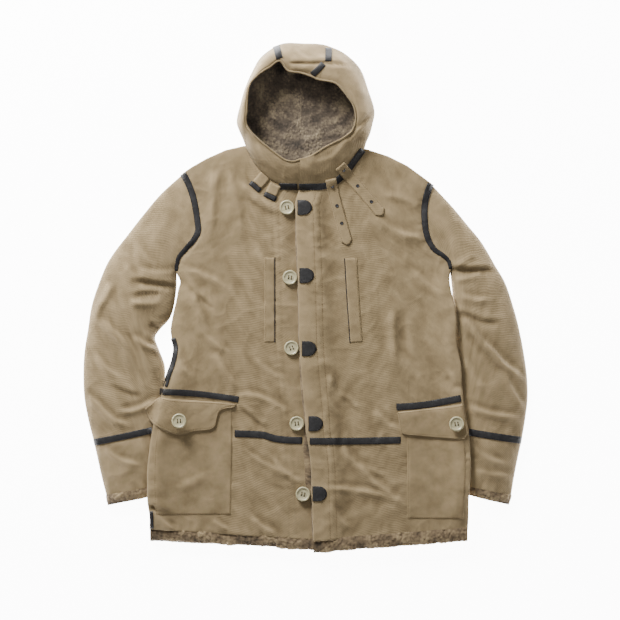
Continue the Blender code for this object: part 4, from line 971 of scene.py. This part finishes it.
def make_hood():
    """Three hood panels, their pile lining, the bound rim and the back underneath."""
    sections = ([chin_section(row) for row in LEFT_CHIN] + [wall_section(row) for row in HOOD_WALL]
                + [chin_section(row) for row in RIGHT_CHIN])
    outer = np.array([points_of(section[0]) for section in sections]).transpose(1, 0, 2)
    pile = np.array([points_of(section[1]) for section in sections]).transpose(1, 0, 2)
    last = len(sections) - 1
    for name, start, end, seed in (("hood_left", 0, LEFT_HOOD_TAPE, 600),
                                   ("hood_centre", LEFT_HOOD_TAPE, RIGHT_HOOD_TAPE, 610),
                                   ("hood_right", RIGHT_HOOD_TAPE, last, 620)):
        rows = even_index(outer[:, (start + end) // 2], 2.2)
        columns = even_index(outer[3], 2.6)
        columns = np.r_[start, columns[(columns > start) & (columns < end)], end]
        fine = curve_at(curve_at(outer.transpose(1, 0, 2), columns).transpose(1, 0, 2), rows)
        x, y = fine[..., 0], fine[..., 1]
        free = smooth((rows - 2.5) / 1.0)[:, None] * smooth((6.0 - rows) / 0.5)[:, None]
        lift = 0.9 * rumple(x, y, 34, seed) + 0.35 * rumple(x, y, 12, seed + 3)
        lift += creases(x, y, HOOD_CREASES, seed)
        station, away = along(CROWN_FOLD, x, y)
        within = smooth(station / 12) * smooth((145 - station) / 60)
        lift += within * (2.6 * np.exp(-((away - 8) / 8) ** 2) + 2.6 * np.exp(-((away + 8) / 8) ** 2)
                          - 4.0 * np.exp(-(away / 2.2) ** 2))
        if name == "hood_right":
            fine[..., 2] += 3.0 * smooth((columns - last + 2.2) / 1.2)[None] * smooth(rows / 2)[:, None]
        fine[..., 2] += lift * free
        # Relief mark: painted shade in the hollows of folds, painted light on their ridges
        piece = grid_piece(name + "_cloth", fine, finishes["cloth"],
                           marks={"hollow": hollows(fine[..., 2], 3.0)})
        point_outwards(piece, (-8, 390, 25))
        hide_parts(name)
    bowl = np.concatenate([np.array([[[*(np.array(HOOD_MIDDLE) * (1 - k) + p[:2] * k), 12.5]
                                      for p in pile[0]] for k in (0.002, 0.35, 0.7)]), pile])
    bowl[:, -1] = bowl[:, 0]
    fine = refined(bowl, 4.0)
    fine[..., 2] += 1.6 * rumple(fine[..., 0], fine[..., 1], 45, 640) * smooth((50 - fine[..., 2]) / 20)
    nap_piece("hood_lining_nap", fine, "hood_lining", 2.2, 650, material="lining", size=4.6, planar=True,
              outward=1.0 if grid_normals(fine)[: 4, :, 2].sum() > 0 else -1.0)
    rim = refined(outer[-1:].repeat(2, axis=0), 2.5)[0]
    rim[:, 2] += 0.5
    rope("hood_binding", rim, 1.9)
    middle = np.array(HOOD_MIDDLE, float)
    rims = [toward(np.array(row[:2], float), 12) for row in HOOD_WALL]
    under = np.array([points_of(((rim, 0.4), (0.5 * (rim + middle), 0.4), (middle, 0.3)))
                      for rim in rims])
    under = refined(under, 6.0)
    piece = grid_piece("hood_back_cloth", under, finishes["cloth"])
    piece.data.flip_normals()
    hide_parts("hood_back")


def point_outwards(piece, middle):
    """Flip a shell whose faces look at the inside."""
    centre = Vector(world(np.array(middle, dtype=float)))
    votes = sum(polygon.normal.dot(polygon.center - centre) for polygon in piece.data.polygons)
    if votes < 0:
        piece.data.flip_normals()


def rope(name, path, radius, material="cloth"):
    """Thin round edge along a path."""
    ahead = np.gradient(path, axis=0)
    ahead /= np.linalg.norm(ahead, axis=1, keepdims=True)
    side = np.cross(ahead, [0, 0, 1.0])
    side /= np.linalg.norm(side, axis=1, keepdims=True)
    up = np.cross(side, ahead)
    turn = np.linspace(0, 2 * math.pi, 9)
    grid = (path[:, None] + radius * (np.cos(turn)[None, :, None] * side[:, None]
                                      + np.sin(turn)[None, :, None] * up[:, None]))
    piece = grid_piece(name, grid, finishes[material])
    close_ring(piece)
    return piece


# Trims
def strip_plan(path, width, spacing=2.0, across=8, taper=None):
    """Plan grid of a strip along a centre line."""
    at = even_index(path, spacing)
    points = curve_at(np.array(path, dtype=float), at)
    ahead = np.gradient(points, axis=0)
    ahead /= np.linalg.norm(ahead, axis=1, keepdims=True)
    side = np.stack([ahead[:, 1], -ahead[:, 0]], axis=1)
    wide = np.full(len(points), float(width))
    if taper:
        wide = wide * np.interp(np.linspace(0, 1, len(points)), *taper)
    shares = 0.5 * np.sin(np.linspace(-0.5, 0.5, across) * math.pi)
    return points[:, None] + side[:, None] * (wide[:, None] * shares)[..., None]


def lay(name, plan, thickness, on, material, node_name=None, round_edge=1.5, seed=0, wrinkle=0.0,
        stitch_inset=None, blur=1.2):
    """Thin piece with rounded edges, laid on shown pieces."""
    base = soften(widest(filled(top_of(tree_of(*on), plan)), 1), blur) + CLEARANCE
    near = edge_distance(plan)
    inward = np.clip(1 - near / round_edge, 0, 1)
    height = base + thickness * np.sqrt(1 - inward ** 2) - 0.6 * (near <= 0)
    inside = smooth(near / 2.5)
    x, y = plan[..., 0], plan[..., 1]
    height += inside * wrinkle * (rumple(x, y, 9, seed) + 0.5 * rumple(x, y, 4, seed + 1))
    if stitch_inset:
        height -= 0.35 * np.exp(-((near - stitch_inset) / 0.9) ** 2)
    grid = with_height(plan, height)
    # Relief mark: painted shade at the rounded edges and in wrinkles, painted light on raised parts
    piece = grid_piece(name, grid, finishes[material],
                       marks={"hollow": hollows(height - base, 2.0)})
    if node_name:
        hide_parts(node_name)
    return piece, grid


ALL_BODY = ("front_left_cloth", "front_right_cloth", "sleeve_upper_left_cloth",
            "sleeve_upper_right_cloth", "sleeve_lower_left_cloth", "sleeve_lower_right_cloth",
            "hood_left_cloth", "hood_right_cloth", "hood_centre_cloth")
seams_sewn = []              # stitch lines: points, piece below, thread


def make_tapes():
    """Leather tapes on the seams, with two sewn lines each."""
    routes = {name: (path, width, None) for name, (path, width) in TAPES.items()}
    for side, table in (("left", LEFT_SIDE), ("right", RIGHT_SIDE)):
        routes[f"armhole_tape_{side}"] = (rows_line(table, 0, ARMHOLE_ROWS), 13.5,
                                          ((0, 0.6, 1), (1, 0.9, 0.5)))
    for k, (name, (path, width, taper)) in enumerate(routes.items()):
        plan = strip_plan(path, width, taper=taper)
        lay(name + "_leather", plan, 1.3, ALL_BODY, "leather", name, seed=700 + k, wrinkle=0.3,
            stitch_inset=2.2)
        for column in (1, -2):
            seams_sewn.append((plan[:, column], name + "_leather", "dark_thread_and_opening_shade"))
    lay("hood_tape_right_return", strip_plan(HOOD_TAPE_RETURN, 12), 1.3, ALL_BODY, "leather",
        seed=760, wrinkle=0.3, stitch_inset=2.2)


def make_pockets():
    """Chest welts with their slits, patch pockets and flaps."""
    for name, (path, width) in WELTS.items():
        plan = strip_plan(path, width, across=12)
        lay(name + "_cloth", plan, 1.1, ALL_BODY[:2], "cloth", name, seed=800,
            wrinkle=0.15)
        away, inner = sorted((plan[:, 0], plan[:, -1]), key=lambda line: line[5, 0],
                             reverse=name.endswith("right"))
        # A dark rope along the slit: painted shadow in the pocket's opening
        slit = inner + (inner - away) * 0.04
        path3 = with_height(slit[None], filled(top_of(tree_of(*ALL_BODY[:2]), slit[None])) + 0.2)[0]
        rope(name + "_mouth", path3, 1.0, "dark_thread_and_opening_shade")
        for line in (plan[0, 1:-1], plan[-1, 1:-1], away + (inner - away) * 0.12):
            seams_sewn.append((line, name + "_cloth", "thread"))
    for name, rows in POCKETS.items():
        coarse = np.array([[(left + (right - left) * share, y) for share in np.linspace(0, 1, 5)]
                           for y, left, right in rows], dtype=float)
        plan = refined(coarse, 2.6)
        side = name.split("_")[1]
        lay(name + "_cloth", plan, 0.9, (f"front_{side}_cloth",), "cloth", name, seed=810,
            wrinkle=0.35, stitch_inset=3.0, blur=1.5)
        for line in (plan[:, 1], plan[:, -2], plan[-2]):
            seams_sewn.append((line, name + "_cloth", "thread"))
    for name, sections in FLAPS.items():
        coarse = np.array([[(x0 + (x1 - x0) * s, y0 + (y1 - y0) * s) for s in (0, 0.35, 0.7, 1)]
                           for x0, y0, x1, y1 in sections])
        plan = refined(coarse, 2.2)
        on = ALL_BODY[:6] + tuple(f"pocket_{side}_cloth" for side in ("left", "right"))
        lay(name + "_cloth", plan, 3.6, on, "cloth", name, round_edge=2.4, seed=830,
            wrinkle=0.4, stitch_inset=4.5, blur=3.0)
        for depth in (2, -4):
            seams_sewn.append((plan[:, depth], name + "_cloth", "thread"))
        for line in (plan[2], plan[-3]):
            seams_sewn.append((line, name + "_cloth", "thread"))


def make_straps():
    """Throat straps with their holes, strap ends and the frames at them."""
    on = ALL_BODY + ("neck_tape_left_leather", "neck_tape_right_leather")
    for name, (path, width, holes) in STRAPS.items():
        plan = strip_plan(path, width, across=12)
        tip = len(plan) - 1
        for back in range(6):
            shrink = (1, 0.84, 0.66, 0.46, 0.26, 0.08)[::-1][back]
            middle = plan[tip - back].mean(axis=0)
            plan[tip - back] = middle + (plan[tip - back] - middle) * max(shrink, 0.08)
        lay(name + "_cloth", plan, 2.6, on, "cloth", name, round_edge=1.3, seed=850, wrinkle=0.12,
            stitch_inset=2.4, blur=2.0)
        seams_sewn.append((plan[2:-5, 2], name + "_cloth", "thread"))
        seams_sewn.append((plan[2:-5, -3], name + "_cloth", "thread"))
        for k, station in enumerate(holes):
            eyelet(f"{name}_hole_{k + 1}", plan[int(station * tip)].mean(axis=0), name + "_cloth")
    for table, thick, material, slot_name in ((STRAP_ENDS, 2.8, "cloth", "cloth"),
                                              (BUCKLES, 2.4, "leather", "leather")):
        for name, (path, width) in table.items():
            lay(name + "_piece", strip_plan(path, width, 1.5), thick, on, material, name,
                seed=860, wrinkle=0.15, stitch_inset=2.2)


def eyelet(name, spot, on):
    """Sewn hole: a raised ring of dark thread round a flat dark disc, which is painted shade in the
    hole.
    """
    z = float(np.nanmax(top_of(tree_of(on), np.array([[spot]]))))
    turn = np.linspace(0, 2 * math.pi, 21)
    rings = ((3.7, -0.2), (3.5, 0.6), (2.9, 0.8), (2.4, 0.3), (1.8, 0.1), (0.02, 0.1))
    grid = np.array([[(spot[0] + r * math.cos(a), spot[1] + r * math.sin(a), z + h) for a in turn]
                     for r, h in rings])
    piece = grid_piece(name, grid, finishes["dark_thread_and_opening_shade"])
    close_ring(piece)


def make_tabs():
    """Half-round leather tabs at the front edge."""
    for k, (x, y) in enumerate(FRONT_TABS):
        plan = []
        for share in np.sin(np.linspace(-0.5, 0.5, 17) * math.pi):
            depth = TAB_DEPTH * (0.42 + 0.58 * math.sqrt(max(0, 1 - share ** 2)))
            plan.append([(x + 0.5 + depth * part, y + 0.5 * TAB_LENGTH * share)
                         for part in np.linspace(0, 1, 15)])
        plan = np.array(plan)
        name = f"front_tab_{k + 1}"
        lay(name + "_leather", plan, 1.9, ("front_right_cloth",), "leather", name, seed=870 + k,
            wrinkle=0.35, stitch_inset=2.6, round_edge=1.2)
        seams_sewn.append((plan[2:-2, -3], name + "_leather", "dark_thread_and_opening_shade"))


def make_buttons():
    """Turned buttons with four holes and two threads each."""
    places = {f"button_{k + 1}": spot for k, spot in enumerate(FRONT_BUTTONS)}
    places.update(POCKET_BUTTONS)
    turn = np.linspace(0, 2 * math.pi, 49)
    for k, (name, (x, y)) in enumerate(places.items()):
        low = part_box(name)[0].z / MM
        rest = filled(top_of(tree_of(*ALL_BODY[:2], "flap_left_cloth", "flap_right_cloth"),
                             np.array([[(x + r * math.cos(a), y + r * math.sin(a))
                                        for a in turn[::6]] for r in (1, 7, 13)])))
        z = min(max(low, float(np.percentile(rest, 75))), low + 4)
        grid = np.array([[(x + r * math.cos(a), y + r * math.sin(a), z + h) for a in turn]
                         for r, h in BUTTON_PROFILE])
        piece = grid_piece(name + "_moulded", grid, finishes["button"])
        close_ring(piece)
        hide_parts(name)
        tilt = math.radians(BUTTON_TURNS[k])
        # Each hole is a flat dark disc on the button's top: painted shade in the hole
        for number in range(4):
            angle = tilt + math.pi / 4 + number * math.pi / 2
            spot = (x + 4.1 * math.cos(angle), y + 4.1 * math.sin(angle))
            rings = ((1.5, 0.02), (1.2, 0.05), (0.02, 0.05))
            hole = np.array([[(spot[0] + r * math.cos(a), spot[1] + r * math.sin(a), z + 3.5 + h)
                              for a in turn[::4]] for r, h in rings])
            close_ring(grid_piece(f"{name}_hole_{number + 1}", hole, finishes["dark_thread_and_opening_shade"]))
        for shift in (-1.0, 1.0):
            side = np.array([math.cos(tilt), math.sin(tilt)])
            over = np.array([-side[1], side[0]])
            middle = np.array([x, y]) + side * shift * 2.9
            path = [(*(middle + over * t), z + 3.6 + 0.9 * (1 - (t / 3.2) ** 2))
                    for t in np.linspace(-3.2, 3.2, 7)]
            rope(f"{name}_thread_{'a' if shift < 0 else 'b'}", np.array(path), 0.75, "thread")


def make_stitching():
    """One stitch is modelled and its copies joined, line by line."""
    lines = list(seams_sewn)
    spacing = setting("stitch_spacing")
    edge = [row[:2] for row in FRONT_EDGE]
    for shift in FACING_SEAMS:
        lines.append((offset_line(edge, shift), "front_right_cloth", "thread"))
    bpy.ops.object.select_all(action="DESELECT")
    bpy.ops.mesh.primitive_ico_sphere_add(subdivisions=1, radius=1.0)
    one = bpy.context.active_object
    shape = np.array([v.co[:] for v in one.data.vertices]) * np.array(STITCH)
    faces = np.array([p.vertices[:] for p in one.data.polygons])
    bpy.data.objects.remove(one)
    for thread in ("thread", "dark_thread_and_opening_shade"):
        points, polygons = [], []
        trees = {}
        for line, on, used in lines:
            if used != thread:
                continue
            if on not in trees:
                trees[on] = tree_of(on)
            line = np.asarray(line, dtype=float)[:, :2]
            steps = np.r_[0, np.cumsum(np.linalg.norm(np.diff(line, axis=0), axis=1))]
            for at in np.arange(2, steps[-1] - 2, spacing):
                x, y = (float(np.interp(at, steps, line[:, k])) for k in (0, 1))
                dx, dy = (float(np.interp(at + 1, steps, line[:, k])) - v
                          for k, v in ((0, x), (1, y)))
                size = math.hypot(dx, dy) or 1
                z = top_of(trees[on], np.array([[(x, y)]]))[0, 0]
                if np.isnan(z):
                    continue
                turned = np.column_stack([(shape[:, 0] * dx - shape[:, 1] * dy) / size + x,
                                          (shape[:, 0] * dy + shape[:, 1] * dx) / size + y,
                                          shape[:, 2] + z + 0.12])
                polygons.append(faces + len(points) * len(shape))
                points.append(turned)
        if not points:
            continue
        mesh = bpy.data.meshes.new(f"stitches_{thread}")
        mesh.from_pydata(world(np.concatenate(points)).tolist(), [],
                         np.concatenate(polygons).tolist())
        piece = bpy.data.objects.new(f"stitches_{thread}", mesh)
        bpy.context.scene.collection.objects.link(piece)
        mesh.uv_layers.new(name="UVMap")
        finish_piece(piece, finishes[thread])


CAMERA_PLACE = (0.009, -0.0225, 7.0)
SENSOR = 36.0
FOCUS_DISTANCE = 6.985       # camera to the cloth
VIEW_WIDTH = 1.24            # what the picture spans there


def make_stage():
    """Pale floor, soft daylight from the hood's side and the overhead camera."""
    bpy.ops.object.select_all(action="DESELECT")
    bpy.ops.mesh.primitive_plane_add(size=30, location=(0, 0, -0.0006))
    floor = bpy.context.active_object
    floor.name = "floor"
    paper = bpy.data.materials.new("white paper")
    paper.use_nodes = True
    for key, value in (("Base Color", (0.95, 0.95, 0.95, 1)), ("Roughness", 0.9),
                       ("Emission Color", (1, 1, 1, 1)), ("Emission Strength", 11.0)):
        paper.node_tree.nodes["Principled BSDF"].inputs[key].default_value = value
    floor.data.materials.append(paper)
    sky = bpy.data.worlds.new("soft studio")
    sky.use_nodes = True
    sky.node_tree.nodes["Background"].inputs["Color"].default_value = (1, 1, 1, 1)
    sky.node_tree.nodes["Background"].inputs["Strength"].default_value = 0.3
    bpy.context.scene.world = sky
    for name, place, size, watts in (("window", (-1.3, 2.3, 1.25), 1.0, 240.0),
                                     ("overhead", (0.3, 0.4, 3.0), 2.0, 18.0)):
        bpy.ops.object.light_add(type="AREA", location=place)
        light = bpy.context.active_object
        light.name = name
        light.data.size = size
        light.data.energy = watts
        light.rotation_euler = (-Vector(place)).to_track_quat("-Z", "Y").to_euler()
    bpy.ops.object.camera_add(location=CAMERA_PLACE, rotation=(0, 0, 0))
    camera = bpy.context.active_object
    camera.data.lens = SENSOR * FOCUS_DISTANCE / VIEW_WIDTH
    bpy.context.scene.camera = camera


# The add-on's settings, operators and panel
class JacketSettings(bpy.types.PropertyGroup):
    fold_rise: bpy.props.FloatProperty(
        name="Fold rise", description="How much the folds stand out", default=2.3, min=0.0)
    stitch_spacing: bpy.props.FloatProperty(
        name="Stitch spacing", description="Millimetres from stitch to stitch", default=4.6, min=2.0)


class JACKET_OT_stage(bpy.types.Operator):
    """Make the floor, lights and camera"""
    bl_idname = "jacket.stage"
    bl_label = "Stage"

    def execute(self, context):
        make_stage()
        return {"FINISHED"}


class JACKET_OT_back(bpy.types.Operator):
    """Make the back panel"""
    bl_idname = "jacket.back"
    bl_label = "Back"

    def execute(self, context):
        make_back()
        return {"FINISHED"}


class JACKET_OT_sleeves(bpy.types.Operator):
    """Make the sleeves and their pile cuffs"""
    bl_idname = "jacket.sleeves"
    bl_label = "Sleeves"

    def execute(self, context):
        make_sleeves()
        return {"FINISHED"}


class JACKET_OT_fronts(bpy.types.Operator):
    """Make both front panels"""
    bl_idname = "jacket.fronts"
    bl_label = "Fronts"

    def execute(self, context):
        make_fronts()
        return {"FINISHED"}


class JACKET_OT_hem(bpy.types.Operator):
    """Make the pile at the hem and the front edge"""
    bl_idname = "jacket.hem"
    bl_label = "Pile edges"

    def execute(self, context):
        make_hem()
        return {"FINISHED"}


class JACKET_OT_hood(bpy.types.Operator):
    """Make the hood with its lining and binding"""
    bl_idname = "jacket.hood"
    bl_label = "Hood"

    def execute(self, context):
        make_hood()
        return {"FINISHED"}


class JACKET_OT_tapes(bpy.types.Operator):
    """Lay the leather tapes on the seams"""
    bl_idname = "jacket.tapes"
    bl_label = "Tapes"

    def execute(self, context):
        make_tapes()
        return {"FINISHED"}


class JACKET_OT_pockets(bpy.types.Operator):
    """Make the welts, patch pockets and flaps"""
    bl_idname = "jacket.pockets"
    bl_label = "Pockets"

    def execute(self, context):
        make_pockets()
        return {"FINISHED"}


class JACKET_OT_straps(bpy.types.Operator):
    """Make the throat straps and their ends"""
    bl_idname = "jacket.straps"
    bl_label = "Straps"

    def execute(self, context):
        make_straps()
        return {"FINISHED"}


class JACKET_OT_tabs(bpy.types.Operator):
    """Make the leather tabs at the front edge"""
    bl_idname = "jacket.tabs"
    bl_label = "Tabs"

    def execute(self, context):
        make_tabs()
        return {"FINISHED"}


class JACKET_OT_buttons(bpy.types.Operator):
    """Make the buttons with their thread"""
    bl_idname = "jacket.buttons"
    bl_label = "Buttons"

    def execute(self, context):
        make_buttons()
        return {"FINISHED"}


class JACKET_OT_stitching(bpy.types.Operator):
    """Sew the visible seams"""
    bl_idname = "jacket.stitching"
    bl_label = "Stitching"

    def execute(self, context):
        make_stitching()
        return {"FINISHED"}


OPERATORS = (JACKET_OT_stage, JACKET_OT_back, JACKET_OT_sleeves, JACKET_OT_fronts,
             JACKET_OT_hem, JACKET_OT_hood, JACKET_OT_tapes, JACKET_OT_pockets,
             JACKET_OT_straps, JACKET_OT_tabs, JACKET_OT_buttons, JACKET_OT_stitching)


class JACKET_PT_pieces(bpy.types.Panel):
    """Lists the steps that make the jacket"""
    bl_label = "Jacket"
    bl_space_type = "VIEW_3D"
    bl_region_type = "UI"
    bl_category = "Jacket"

    def draw(self, context):
        for name in JacketSettings.__annotations__:
            self.layout.prop(context.scene.jacket, name)
        for operator in OPERATORS:
            self.layout.operator(operator.bl_idname)


CLASSES = (JacketSettings, *OPERATORS, JACKET_PT_pieces)


def register():
    """Add the settings, operators and panel."""
    for item in CLASSES:
        bpy.utils.register_class(item)
    bpy.types.Scene.jacket = bpy.props.PointerProperty(type=JacketSettings)


def unregister():
    """Take them away again."""
    del bpy.types.Scene.jacket
    for item in reversed(CLASSES):
        bpy.utils.unregister_class(item)


def main():
    """Make every piece."""
    register()
    finishes.update(make_finishes())
    bpy.ops.jacket.stage()
    bpy.ops.jacket.back()
    bpy.ops.jacket.sleeves()
    bpy.ops.jacket.fronts()
    bpy.ops.jacket.hem()
    bpy.ops.jacket.hood()
    bpy.ops.jacket.tapes()
    bpy.ops.jacket.pockets()
    bpy.ops.jacket.straps()
    bpy.ops.jacket.tabs()
    bpy.ops.jacket.buttons()
    bpy.ops.jacket.stitching()


if __name__ == "__main__":
    main()
